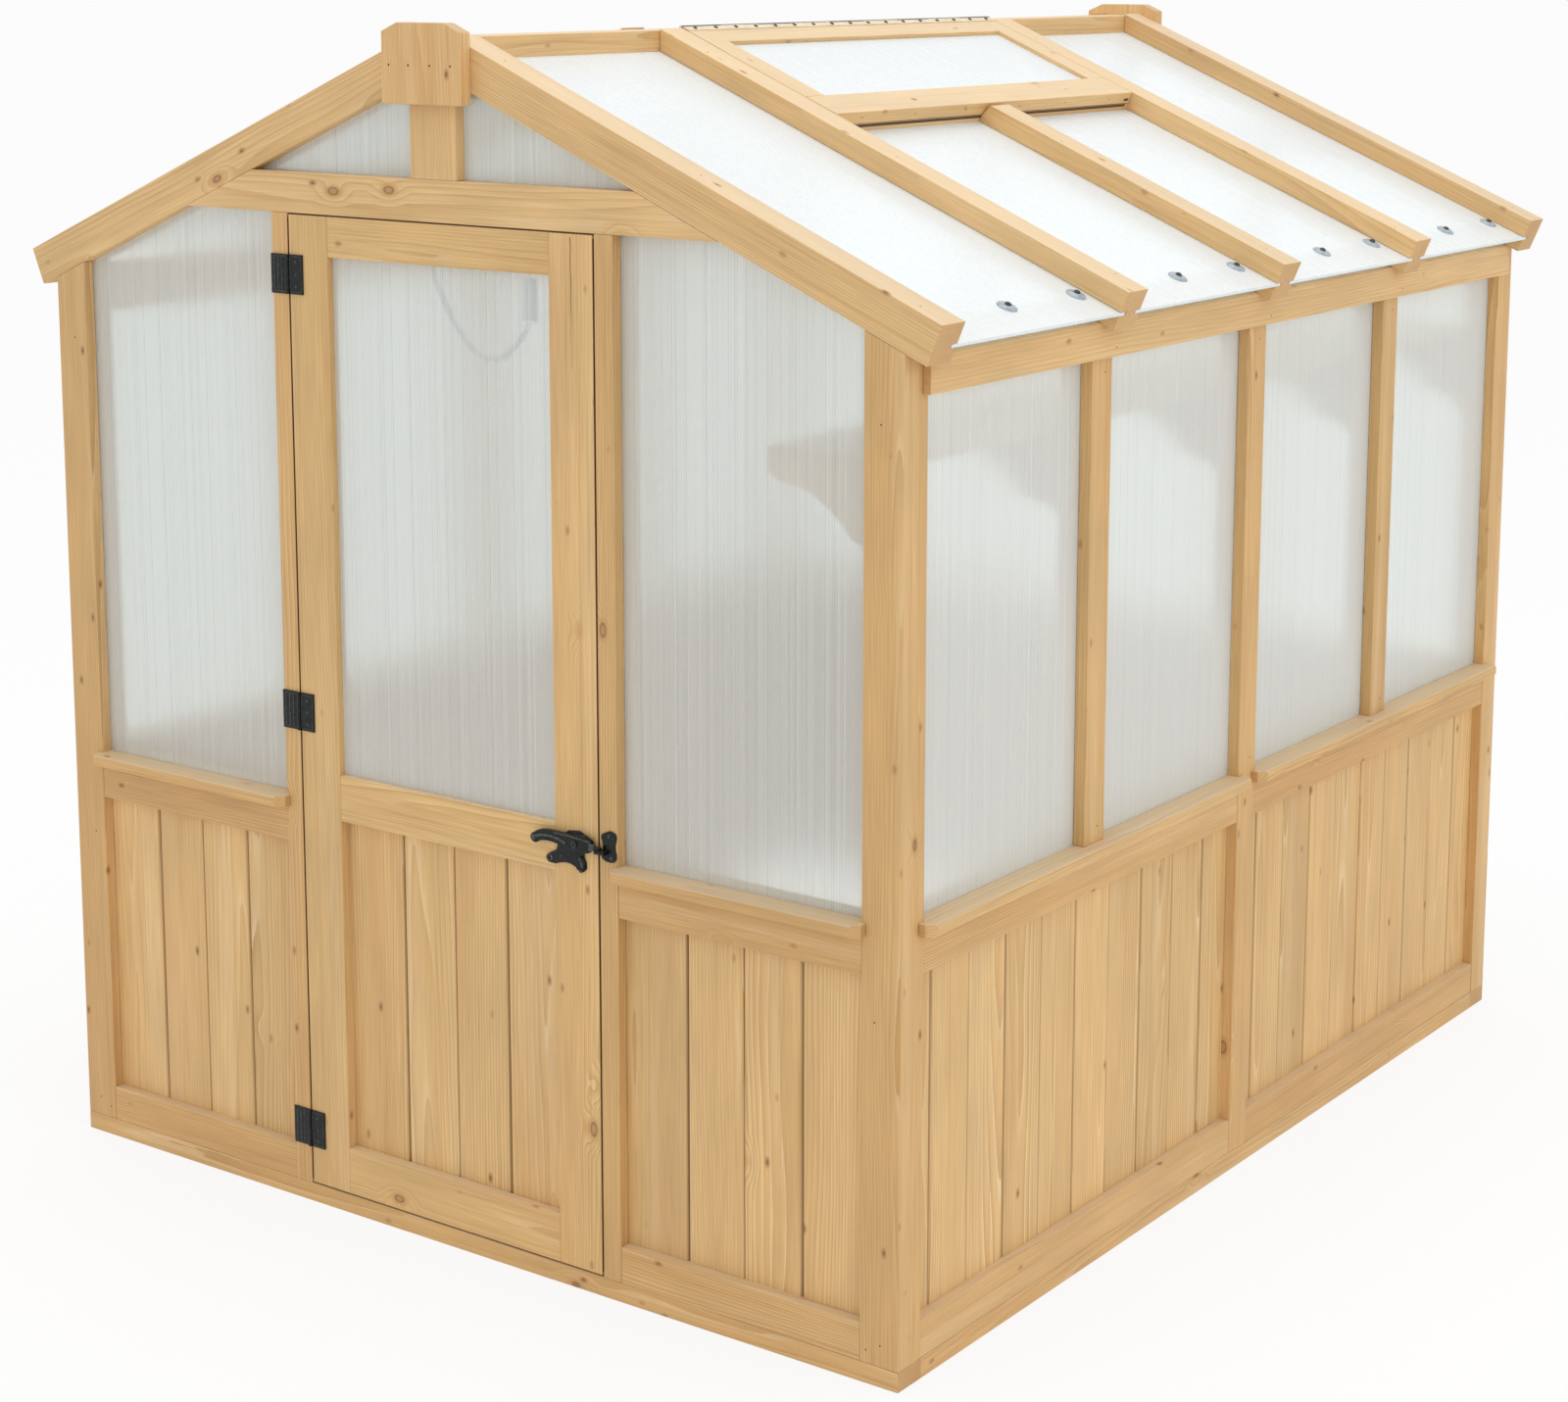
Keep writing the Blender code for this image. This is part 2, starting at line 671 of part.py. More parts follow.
down_slope = Vector((math.cos(ROOF_PITCH), 0, -math.sin(ROOF_PITCH)))      # of the right slope
out_of_roof = Vector((math.sin(ROOF_PITCH), 0, math.cos(ROOF_PITCH)))


def slope_point(run, height):
    """Point of the right slope at a distance down from the crown and a height over the rafter tops."""
    return Vector((0, 0, crown)) + down_slope * run + out_of_roof * height


def along_slope(loop, start, end):
    """Outline in (y, height over the rafter tops), run down the right slope between two distances."""
    turn = Matrix.Rotation(math.radians(90) + ROOF_PITCH, 4, "Y") @ Matrix.Rotation(math.radians(90), 4, "Z")
    return sweep([loop], end - start, Matrix.Translation(slope_point((start + end) / 2, 0)) @ turn)


def flat_on_slope(loops, low, high):
    """Outlines in (distance down the slope, y), given thickness between two heights over the rafter tops."""
    place = Matrix.Translation(slope_point(0, (low + high) / 2)) @ Matrix.Rotation(ROOF_PITCH, 4, "Y")
    return sweep(loops, high - low, place)


def across_slope(loop, y):
    """Outline in (distance down the slope, height over the rafter tops), given its length along the house."""
    points = [slope_point(run, height) for run, height in loop]
    return prism("y", y, [(point.x, point.z) for point in points])


def plumb_cut(mesh, reach):
    """Cuts a piece of the right slope to stand against the ridge beam."""
    return slice_off(mesh, (reach, 0, 0), (-1, 0, 0))


def rafter_section(y, grooved):
    """Cross-section of a rafter, with a pane groove in each of the named sides (-1 and 1)."""
    groove = (-ROOF_PANE_SINK - ROOF_PANE - GAP, GAP - ROOF_PANE_SINK)
    outline = []
    for side, levels in ((1, groove), (-1, groove[::-1])):
        face, neck = y + side * TIMBER / 2, y + side * RAFTER_NECK / 2
        first, last = (-RAFTER_HEIGHT, 0) if side > 0 else (0, -RAFTER_HEIGHT)
        outline.append((face, first))
        if side in grooved:
            outline += [(face, levels[0]), (neck, levels[0]), (neck, levels[1]), (face, levels[1])]
        outline.append((face, last))
    return outline


def rafter_stick(y, grooved, start):
    """Rafter from a distance down the slope to its square-cut end at the eave."""
    stick = along_slope(rafter_section(y, grooved), start, eave_run + RAFTER_HEIGHT)
    return slice_off(stick, slope_point(eave_run, 0), down_slope)


def rafter(y, grooved):
    return plumb_cut(rafter_stick(y, grooved, 0), ridge_side + GAP)


def roof_sheet(bay, start=0.0):
    """Right-hand roof pane of a bay, from the ridge beam or from a distance down the slope to the eave."""
    near = -inner_y + bay * rafter_pitch - ROOF_PANE_LAP
    far = near + rafter_pitch - TIMBER + 2 * ROOF_PANE_LAP
    section = rectangle((near, far), (-ROOF_PANE_SINK - ROOF_PANE, -ROOF_PANE_SINK))
    return plumb_cut(along_slope(section, start, eave_run), ridge_side + GAP)


def short_rafter():
    """Middle rafter of the right slope, below the vent, with the header under the vent's lower edge."""
    header_top = -VENT_THICK - VENT_SEAT_GAP
    whole = rafter_stick(0, (-1, 1), vent_run - HEADER_WIDTH / 2)
    slice_off(whole, slope_point(vent_run, header_top), out_of_roof * RAFTER_BEVEL + down_slope * header_top)
    side = rafter_pitch - TIMBER / 2 - GAP
    section = rectangle((vent_run - HEADER_WIDTH, vent_run), (-RAFTER_HEIGHT, header_top))
    return join(across_slope(section, (-side, side)), whole)


def ridge_block():
    """Board nailed over the ridge end, its top following both slopes up to a flat."""
    half, flat = BLOCK_WIDTH / 2, BLOCK_TOP / 2
    shoulder, top = roof_level(half) + BLOCK_RISE, roof_level(flat) + BLOCK_RISE
    outline = [
        (-half, shoulder - BLOCK_SIDE), (half, shoulder - BLOCK_SIDE), (half, shoulder), (flat, top),
        (-flat, top), (-half, shoulder),
    ]
    return prism("y", (-half_depth - BLOCK_THICK, -half_depth - GAP), outline)


def build_roof():
    beam = box((-ridge_side, ridge_side), (-half_depth, half_depth), (ridge_bottom, ridge_top))
    put("ridge_beam", beam, roof_timber)
    put("ridge_block_front", ridge_block(), roof_timber)
    gable_y = inner_y + TIMBER / 2
    front = rafter(-gable_y, (1,))
    put("rafter_left_1", mirrored(front), roof_timber)
    put("rafter_right_1", front, roof_timber)
    for count in range(1, BAYS):
        y = -gable_y + count * rafter_pitch
        middle = rafter(y, (-1, 1))
        put(f"rafter_left_{count + 1}", mirrored(middle), roof_timber)
        whole = abs(y) > TIMBER
        put(f"rafter_right_{count + 1}", middle if whole else short_rafter(), roof_timber)
    for bay in range(BAYS):
        put(f"roof_pane_left_{bay + 1}", mirrored(roof_sheet(bay)), roof_pane)
        under_vent = 0 < bay < BAYS - 1
        put(f"roof_pane_right_{bay + 1}", roof_sheet(bay, vent_run + GAP if under_vent else 0.0), roof_pane)


def build_back_gable():
    """Rafters, collar, king post and ridge block of the back gable as one truss, slotted for the pane."""
    right = rafter(-inner_y - TIMBER / 2, (1,))
    glass = (-half_depth + slot_near, -half_depth + slot_far)
    collar = prism("y", (-half_depth, -inner_y), collar_outline(-TIMBER / 2))
    collar = cut(collar, box((-half_width, half_width), glass, (collar_level - GROOVE, collar_top + GROOVE)))
    king = box((-KING_POST / 2, KING_POST / 2), (-half_depth, glass[0]),
               (collar_level + COLLAR_HEIGHT / 2, ridge_bottom - GAP))
    foot = rafter_underside(ridge_side + BLOCK_THICK) + BLOCK_THICK
    peg = box(
        (ridge_side + BLOCK_THICK / 2, ridge_side + BLOCK_THICK),
        (-half_depth - BLOCK_THICK / 2, -half_depth + BLOCK_THICK / 2), (foot, foot + BLOCK_THICK),
    )
    truss = join(collar, king, right, mirrored(right), peg, mirrored(peg), ridge_block())
    put("gable_frame_back", moved(truss, half_turn), roof_timber)


def build_vent():
    axis = Axis("vent_lift_axis", (STRIP_PIN_REACH, 0, ridge_top + GAP + STRIP_KNUCKLE_RADIUS))
    to_run = 1 / math.cos(ROOF_PITCH)
    opening_run = (VENT_TOP_REACH * to_run, (VENT_REACH - VENT_BOTTOM_RAIL) * to_run)
    opening_y = (-vent_side + VENT_STILE, vent_side - VENT_STILE)

    def opening(margin):
        return rectangle((opening_run[0] - margin, opening_run[1] + margin),
                         (opening_y[0] - margin, opening_y[1] + margin))

    frame = flat_on_slope([rectangle((0, vent_run), (-vent_side, vent_side)), opening(0)], -VENT_THICK, 0)
    frame = plumb_cut(frame, ridge_side + VENT_HEAD_GAP)
    rebate = flat_on_slope([opening(VENT_REBATE)], -VENT_THICK * 2, -VENT_PANE_RECESS)
    put("vent_frame", cut(frame, rebate), roof_timber, axis)
    top = -VENT_PANE_RECESS - GAP
    put("vent_pane", flat_on_slope([opening(VENT_REBATE - GAP)], top - ROOF_PANE, top), roof_pane, axis)

    clear = STRIP_KNUCKLE_RADIUS + 2 * GAP
    x, level = axis.place.x, ridge_top + GAP
    on_beam = [
        rectangle((x - STRIP_LEAF_WIDTH, x - clear), (level, level + STRIP_LEAF)),
        rectangle((x - STRIP_LEAF_WIDTH, x), (level, level + STRIP_LEAF)),
    ]
    pin_run = (axis.place - slope_point(0, 0)).dot(down_slope)
    tongue = STRIP_LEAF / 5                             # link's faces, inside the leaf's
    on_vent = []
    for runs, margin in (((clear, STRIP_LEAF_WIDTH), 0), ((0, clear * 2), tongue)):
        heights = (GAP + margin, GAP + STRIP_LEAF - margin)
        points = [slope_point(pin_run + run, height) for run, height in rectangle(runs, heights)]
        on_vent.append([(point.x, point.z) for point in points])
    fixed, moving = hinge(
        "y", (-vent_side, vent_side), (x, axis.place.z), STRIP_KNUCKLE_RADIUS, STRIP_PIN_RADIUS,
        STRIP_KNUCKLES, on_beam, on_vent,
    )
    put("vent_hinge_fixed", fixed, pale_steel)
    put("vent_hinge_moving", moving, pale_steel, axis)


def hinge(axis, ends, centre, radius, pin, count, fixed_outlines, moving_outlines):
    """The two halves of a hinge: leaf, knuckles and pin, and the leaf whose bored knuckles turn on it.

    Each pair of outlines is the leaf, for its whole length, and the link from it to its own knuckles.
    """
    step = (ends[1] - ends[0]) / count
    pieces = {0: [prism(axis, ends, fixed_outlines[0])], 1: [prism(axis, ends, moving_outlines[0])]}
    links = (fixed_outlines[1], moving_outlines[1])
    bore = pin + 2 * GAP
    for number in range(count):
        span = (ends[0] + number * step + GAP / 2, ends[0] + (number + 1) * step - GAP / 2)
        side = number % 2
        loops = [circle(centre, radius)]
        link = prism(axis, span, links[side])
        if side:
            link = cut(link, prism(axis, ends, circle(centre, bore)))
            loops.append(circle(centre, bore))
        pieces[side] += [link, prism(axis, span, *loops)]
    pieces[0].append(prism(axis, (ends[0] + step / 2, ends[1] - step / 2), circle(centre, pin)))
    return rounded(join(*pieces[0])), rounded(join(*pieces[1]))


def build_door():
    pin = (-(door_half - DOOR_SIDE_GAP / 2), door_front - GAP - KNUCKLE_RADIUS)
    axis = Axis("door_swing_axis", (*pin, (door_foot + door_head) / 2))
    opening_x = door_edge - DOOR_STILE
    pane_z = (DOOR_MID_RAIL[1], door_head - DOOR_TOP_RAIL)
    board_z = (door_foot + DOOR_BOTTOM_RAIL, DOOR_MID_RAIL[0])

    def opening(z, margin):
        return rectangle((-opening_x - margin, opening_x + margin), (z[0] - margin, z[1] + margin))

    def behind(recess):
        return door_front + recess, door_front + DOOR_THICK + DOOR_REBATE

    edges = rectangle((-door_edge, door_edge), (door_foot, door_head))
    leaf = prism("y", (door_front, door_front + DOOR_THICK), edges, opening(pane_z, 0), opening(board_z, 0))
    rebates = [
        prism("y", behind(DOOR_PANE_RECESS), opening(pane_z, DOOR_REBATE)),
        prism("y", behind(DOOR_BOARD_RECESS), opening(board_z, DOOR_REBATE)),
    ]
    put("door_frame", cut(leaf, *rebates), door_timber, axis)
    glass = door_front + DOOR_PANE_RECESS + GAP
    put("door_pane", prism("y", (glass, glass + PANE), opening(pane_z, DOOR_REBATE - GAP)), wall_pane, axis)
    reach = opening_x + DOOR_REBATE - GAP
    panel = boards(
        (-reach, reach), (board_z[0] - DOOR_REBATE + GAP, board_z[1] + DOOR_REBATE - GAP),
        DOOR_BOARD_RECESS + GAP, DOOR_BOARD_THICK, centred_joints(-opening_x, opening_x, DOOR_BOARD),
    )
    put("door_boards", moved(panel, front_wall), board_timber, axis)

    face = (door_front - GAP - HINGE_LEAF, door_front - GAP)
    clear = KNUCKLE_RADIUS + GAP
    outlines = []
    for side, width in ((-1, HINGE_POST_LEAF), (1, HINGE_DOOR_LEAF)):
        x = sorted((pin[0] + side * clear, pin[0] + side * width))
        link = sorted((pin[0] + side * PIN_RADIUS, pin[0] + side * clear * 2))
        outlines.append((rectangle(x, face), rectangle(link, face)))
    levels = (door_head - HINGE_INSET, (door_foot + door_head) / 2, door_foot + HINGE_INSET)
    for number, level in enumerate(levels, 1):
        ends = (level - HINGE_HEIGHT / 2, level + HINGE_HEIGHT / 2)
        fixed, moving = hinge("z", ends, pin, KNUCKLE_RADIUS, PIN_RADIUS, DOOR_KNUCKLES, *outlines)
        put(f"door_hinge_fixed_{number}", fixed, black_iron)
        put(f"door_hinge_moving_{number}", moving, black_iron, axis)
    build_latch(axis)


# Latch outlines, in metres from the lever's pivot, as seen from the front
latch_plate_outline = [
    (0.026, 0.012), (0.028, -0.006), (0.012, -0.017), (0.018, -0.043), (0.006, -0.053),
    (-0.007, -0.045), (-0.030, -0.041), (-0.066, -0.047), (-0.0745, -0.038), (-0.064, -0.028),
    (-0.050, -0.020), (-0.046, 0.004),
]
latch_rib_outline = [(0.010, -0.024), (0.015, -0.043), (0.006, -0.050), (-0.004, -0.044), (-0.003, -0.030)]
latch_lever_outline = [
    (0.036, 0.012), (0.037, -0.008), (0.012, -0.012), (-0.014, -0.012), (-0.035, -0.007),
    (-0.055, -0.004), (-0.078, -0.006), (-0.091, -0.012), (-0.102, -0.003), (-0.091, 0.008),
    (-0.074, 0.015), (-0.047, 0.016), (-0.014, 0.0155),
]
latch_eye = (-0.0645, -0.037)
striker_outline = [
    (0.0165, 0.0325), (0.008, 0.028), (0.0, 0.024), (0.003, 0.008), (0.003, -0.004), (0.0, -0.016),
    (0.008, -0.022), (0.018, -0.0235), (0.029, -0.021), (0.033, -0.014), (0.030, 0.002), (0.0305, 0.010),
    (0.033, 0.026), (0.027, 0.031),
]


def about(place, outline):
    return [(place[0] + u, place[1] + v) for u, v in outline]


def build_latch(door_axis):
    x, z = door_edge - LATCH_PIVOT_INSET, LATCH_LEVEL
    plate_front, plate_back = door_front - GAP - LATCH_PLATE, door_front - GAP
    lever_back = plate_front - LEVER_STANDOFF
    lever_front = lever_back - LATCH_LEVER
    rod_y = (lever_front + lever_back) / 2
    inside_plate = plate_back - LATCH_PLATE / 2
    head = lever_front - GAP
    axis = Axis("latch_lift_axis", (x, rod_y, z), door_axis)

    plate = prism("y", (plate_front, plate_back), about((x, z), latch_plate_outline), smooth=3)
    eye = circle((x + latch_eye[0], z + latch_eye[1]), EYE_RADIUS, 12)
    plate = cut(plate, prism("y", (lever_front, door_front), eye))
    rib = prism("y", (lever_back, inside_plate), about((x, z), latch_rib_outline), smooth=3)
    turned = [
        ((inside_plate, head - LATCH_HEAD / 2), LATCH_PIN_RADIUS),
        ((head, head - LATCH_HEAD), LATCH_HEAD_RADIUS),
        ((inside_plate, lever_back + GAP), LATCH_HEAD_RADIUS),
    ]
    rods = [rod((x, ends[0], z), (x, ends[1], z), radius) for ends, radius in turned]
    put("latch_body", rounded(join(plate, rib, *rods)), black_iron, door_axis)

    arm = prism("y", (lever_front, lever_back), about((x, z), latch_lever_outline), smooth=3)
    bore = rod((x, head, z), (x, inside_plate, z), LATCH_PIN_RADIUS + 2 * GAP)
    bolt = rod((x + ROD_START, rod_y, z), (door_edge + ROD_REACH, rod_y, z), ROD_RADIUS)
    put("latch_lever", rounded(join(cut(arm, bore), bolt)), black_iron, axis)

    edge = door_half + STRIKER_INSET
    striker_front = door_front - GAP - STRIKER_PLATE
    striker = prism("y", (striker_front, door_front - GAP), about((edge, z), striker_outline), smooth=3)
    rest = z - ROD_RADIUS - GAP
    shelf = box(
        (door_half - DOOR_SIDE_GAP / 2, edge + ROD_REACH), (lever_front, striker_front + STRIKER_PLATE / 2),
        (rest - 2 * ROD_RADIUS, rest),
    )
    put("latch_striker", join(striker, shelf), black_iron)


# Scroll bracket profile, as shares of its run along the shelf and of its drop down the wall
bracket_profile = [
    (0.0, 0.18), (0.10, 0.255), (0.22, 0.27), (0.36, 0.34), (0.48, 0.46), (0.59, 0.60), (0.67, 0.745),
    (0.74, 0.78), (0.88, 0.82), (1.0, 1.0),
]


def build_shelf():
    """Board along the right wall, on a scroll bracket at each end, at each mullion and at the centre post."""
    wall_edge = half_width - TIMBER - GAP
    free_edge = wall_edge - SHELF_WIDTH
    end = inner_y - SHELF_END_GAP
    under = shelf_level - SHELF_THICK
    board = box((free_edge, wall_edge), (-end, end), (under, shelf_level))
    profile = [(free_edge + run * SHELF_WIDTH, under - drop * BRACKET_DROP) for run, drop in bracket_profile]
    profile += [(wall_edge, under + SHELF_THICK / 2), (free_edge, under + SHELF_THICK / 2)]
    middles = [-end + BRACKET_THICK / 2, end - BRACKET_THICK / 2, 0, -rafter_pitch, rafter_pitch]
    brackets = [prism("y", (y - BRACKET_THICK / 2, y + BRACKET_THICK / 2), profile) for y in middles]
    put("shelf_right", join(board, *brackets), wall_timber)


build_base()
build_front_wall()
build_right_wall()
build_left_wall()
build_back_wall()
build_eave_plates()
build_roof()
build_back_gable()
build_vent()
build_door()
build_shelf()
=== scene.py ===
import math
import random

import bmesh
import bpy
from mathutils import Matrix, Vector


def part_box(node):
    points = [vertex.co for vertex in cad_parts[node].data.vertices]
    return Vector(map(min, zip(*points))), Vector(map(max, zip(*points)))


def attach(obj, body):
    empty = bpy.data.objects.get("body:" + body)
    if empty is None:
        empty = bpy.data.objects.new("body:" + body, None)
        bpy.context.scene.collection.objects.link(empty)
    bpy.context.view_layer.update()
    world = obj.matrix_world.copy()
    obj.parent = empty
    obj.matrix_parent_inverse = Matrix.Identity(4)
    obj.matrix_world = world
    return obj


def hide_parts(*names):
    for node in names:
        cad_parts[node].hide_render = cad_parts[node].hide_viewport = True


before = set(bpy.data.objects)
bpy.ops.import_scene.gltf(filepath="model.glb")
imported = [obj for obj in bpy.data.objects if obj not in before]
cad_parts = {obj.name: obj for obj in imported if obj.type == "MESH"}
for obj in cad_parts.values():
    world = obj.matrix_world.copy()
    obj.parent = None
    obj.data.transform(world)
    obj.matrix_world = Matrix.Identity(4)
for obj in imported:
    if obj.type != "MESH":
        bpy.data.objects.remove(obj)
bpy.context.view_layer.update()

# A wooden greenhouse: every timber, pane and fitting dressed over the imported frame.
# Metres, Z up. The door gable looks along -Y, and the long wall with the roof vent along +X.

# Lines of the house, read from the frame
halfWidth, halfDepth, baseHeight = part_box("base_frame")[1]
cornerLow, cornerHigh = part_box("corner_post_front_right")
collarLow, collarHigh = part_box("collar_beam_front")
rafterLow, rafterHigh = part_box("rafter_right_1")
ventLow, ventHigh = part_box("vent_frame")
doorLow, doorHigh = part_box("door_frame")
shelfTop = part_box("shelf_right")[1].z
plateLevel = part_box("eave_plate_right")[0].z
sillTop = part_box("boarded_panel_front_right")[1].z
timberFace = cornerHigh.y - cornerLow.y          # wall depth, and width of mullions and rafters
doorGap = 0.004
doorHalf = doorHigh.x + doorGap                  # half the door opening
innerY = halfDepth - timberFace
postInner = cornerLow.x
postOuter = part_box("door_post_right")[1].x
roofPitch = math.radians(23)
crown = rafterHigh.z + math.tan(roofPitch) * rafterLow.x
rafterPitch = (2 * halfDepth - timberFace) / 4
gableY = innerY + timberFace / 2
grooveDepth = 0.012                              # how far a wall pane runs into its timbers
hair = 0.0002                                    # keeps a cut clear of the faces beside it

downSlope = Vector((math.cos(roofPitch), 0, -math.sin(roofPitch)))      # of the right slope
outOfRoof = Vector((math.sin(roofPitch), 0, math.cos(roofPitch)))
halfTurn = Matrix.Rotation(math.pi, 4, "Z")
alongX, alongY, alongZ = Vector((1, 0, 0)), Vector((0, 1, 0)), Vector((0, 0, 1))
unit = {"x": alongX, "y": alongY, "z": alongZ, "slope": downSlope}
sideSigns = {"left": -1, "right": 1}
chance = random.Random(23)


def onSlope(run, height, y, side=1):
    # run down from the crown, height over the rafter tops, side -1 for the left slope
    point = Vector((0, y, crown)) + downSlope * run + outOfRoof * height
    return Vector((side * point.x, point.y, point.z))


def toRight(vector, side):
    return Vector((side * vector.x, vector.y, vector.z))


# Shaping

def between(axis, low=None, high=None):
    # planes that keep what lies between two distances along an axis or the slope
    ends = ((low, -1), (high, 1))
    return [(unit[axis] * place, unit[axis] * sign) for place, sign in ends if place is not None]


def cutOut(nodeName, planes=()):
    # the part of a node inside some planes, with its cut faces closed and flat faces whole again
    solid = bmesh.new()
    solid.from_mesh(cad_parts[nodeName].data)
    bmesh.ops.remove_doubles(solid, verts=solid.verts, dist=0.00001)
    for place, outward in planes:
        made = bmesh.ops.bisect_plane(solid, geom=[*solid.verts, *solid.edges, *solid.faces], dist=0.000001,
                                      plane_co=place, plane_no=outward, clear_outer=True)
        rim = [one for one in made["geom_cut"] if isinstance(one, bmesh.types.BMEdge)]
        bmesh.ops.holes_fill(solid, edges=rim, sides=0)
    bmesh.ops.dissolve_limit(solid, angle_limit=math.radians(0.3), verts=solid.verts, edges=solid.edges)
    bmesh.ops.recalc_face_normals(solid, faces=solid.faces)
    return solid


def bar(low, high):
    solid = bmesh.new()
    low, high = Vector(low), Vector(high)
    place = Matrix.Translation((low + high) / 2) @ Matrix.Diagonal((*(high - low), 1))
    bmesh.ops.create_cube(solid, size=1, matrix=place)
    return solid


def slab(outline, thickness):
    # a closed prism on a flat outline, thickness being the way it rises
    solid = bmesh.new()
    foot = [solid.verts.new(point) for point in outline]
    head = [solid.verts.new(Vector(point) + thickness) for point in outline]
    solid.faces.new(foot)
    solid.faces.new(head)
    for step in range(len(outline)):
        solid.faces.new((foot[step - 1], foot[step], head[step], head[step - 1]))
    bmesh.ops.recalc_face_normals(solid, faces=solid.faces)
    return solid


def ease(solid, width):
    # rounds the long outward edges a little, as a plane or sandpaper leaves them
    chosen = []
    for edge in solid.edges:
        if len(edge.link_faces) != 2 or not edge.is_convex or edge.calc_length() < 8 * width:
            continue
        narrowest = min(face.calc_area() / max(side.calc_length() for side in face.edges)
                        for face in edge.link_faces)
        if edge.calc_face_angle(0) > 0.45 and narrowest > 2.4 * width:
            chosen.append(edge)
    bmesh.ops.bevel(solid, geom=chosen, offset=width, segments=2, profile=0.5,
                    affect="EDGES", clamp_overlap=False)


def islandsOf(solid):
    left, islands = set(solid.verts), []
    for start in solid.verts:
        if start not in left:
            continue
        left.discard(start)
        found, waiting = [], [start]
        while waiting:
            vertex = waiting.pop()
            found.append(vertex)
            for edge in vertex.link_edges:
                other = edge.other_vert(vertex)
                if other in left:
                    left.discard(other)
                    waiting.append(other)
        islands.append(found)
    return islands


grooveLook = {                          # how far a groove reaches from its seam, and how much painted shade narrow ones get
    "least": 0.0015, "most": 0.006, "wide": 0.0035, "narrowShare": {"x": 0.85, "y": 0.45},
}


def grooveFeet(near, axis, place):
    # the foot points of a groove among the vertices at a seam, and the reach of its widest side
    feet, widest = [], 0
    for vertex in near:
        for edge in vertex.link_edges:
            reach = abs(edge.other_vert(vertex).co.dot(unit[axis]) - place)
            if grooveLook["least"] < reach < grooveLook["most"]:
                feet.append(vertex.co)
                widest = max(widest, reach)
    return feet, widest


def stand(name, data):
    made = bpy.data.objects.new(name, data)
    bpy.context.scene.collection.objects.link(made)
    return made


class Shape:
    # gathers members into one mesh, with values that the finishes read at each point

    def __init__(self):
        self.points, self.faces = [], []
        self.values = {"grain": [], "tree": [], "tone": [], "seam": []}
        self.vectors = ("grain", "tree")

    def take(self, solid, **values):
        start = len(self.points)
        solid.verts.index_update()
        self.points += [vertex.co.copy() for vertex in solid.verts]
        self.faces += [[start + vertex.index for vertex in face.verts] for face in solid.faces]
        for name, store in self.values.items():
            plain = Vector((0, 0, 0)) if name in self.vectors else 0.0
            store += values.get(name) or [plain] * len(solid.verts)
        solid.free()

    def timber(self, solid, along, turn=None, easeWidth=0.0013, seams=()):
        # along is the way that the tree grew; seams are planes where boards meet
        ease(solid, easeWidth)
        solid.verts.index_update()
        count = len(solid.verts)
        grain, tone, seam = [None] * count, [0.0] * count, [0.0] * count
        across = along.cross(alongZ if abs(along.z) < 0.9 else alongY).normalized()
        away = along.cross(across)
        for island in islandsOf(solid):
            middle = sum((vertex.co for vertex in island), Vector()) / len(island)
            turnOfTree = chance.uniform(0, 2 * math.pi)
            pith = chance.uniform(0.035, 0.10)
            shift = chance.uniform(0, 40)
            leans = chance.uniform(-0.012, 0.012), chance.uniform(-0.012, 0.012)
            shade = max(-1.0, min(1.0, chance.gauss(0, 0.45)))
            for vertex in island:
                offset = vertex.co - middle
                far = offset.dot(along)
                grain[vertex.index] = Vector((
                    far + shift,
                    offset.dot(across) + pith * math.cos(turnOfTree) + leans[0] * far,
                    offset.dot(away) + pith * math.sin(turnOfTree) + leans[1] * far,
                ))
                tone[vertex.index] = shade
        # painted shade: the foot of each groove between boards is darkened where shade falls
        for axis, place in seams:       # darkest along the foot of the groove, and plain on the inner face
            near = [vertex for vertex in solid.verts
                    if abs(vertex.co.dot(unit[axis]) - place) < easeWidth + hair]
            feet, widest = grooveFeet(near, axis, place)
            share = 1.0 if widest > grooveLook["wide"] else grooveLook["narrowShare"][axis]
            for vertex in near:
                if any((vertex.co - foot).length < 2 * easeWidth for foot in feet):
                    seam[vertex.index] = share
        tree = along
        if turn:
            solid.transform(turn)
            tree = turn.to_3x3() @ along
        self.take(solid, grain=grain, tree=[tree] * count, tone=tone, seam=seam)

    def build(self, name, body, skin, slot, replaced=(), sharp=None):
        mesh = bpy.data.meshes.new(name)
        mesh.from_pydata(self.points, [], self.faces)
        mesh.materials.append(skin)
        for label, store in self.values.items():
            vectors = label in self.vectors
            layer = mesh.attributes.new(label, "FLOAT_VECTOR" if vectors else "FLOAT", "POINT")
            if vectors:
                layer.data.foreach_set("vector", [number for one in store for number in one])
            else:
                layer.data.foreach_set("value", store)
        if sharp:
            mesh.shade_smooth()
            mesh.set_sharp_from_angle(angle=math.radians(sharp))
        piece = stand(name, mesh)
        if replaced:
            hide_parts(*replaced)
        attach(piece, body)


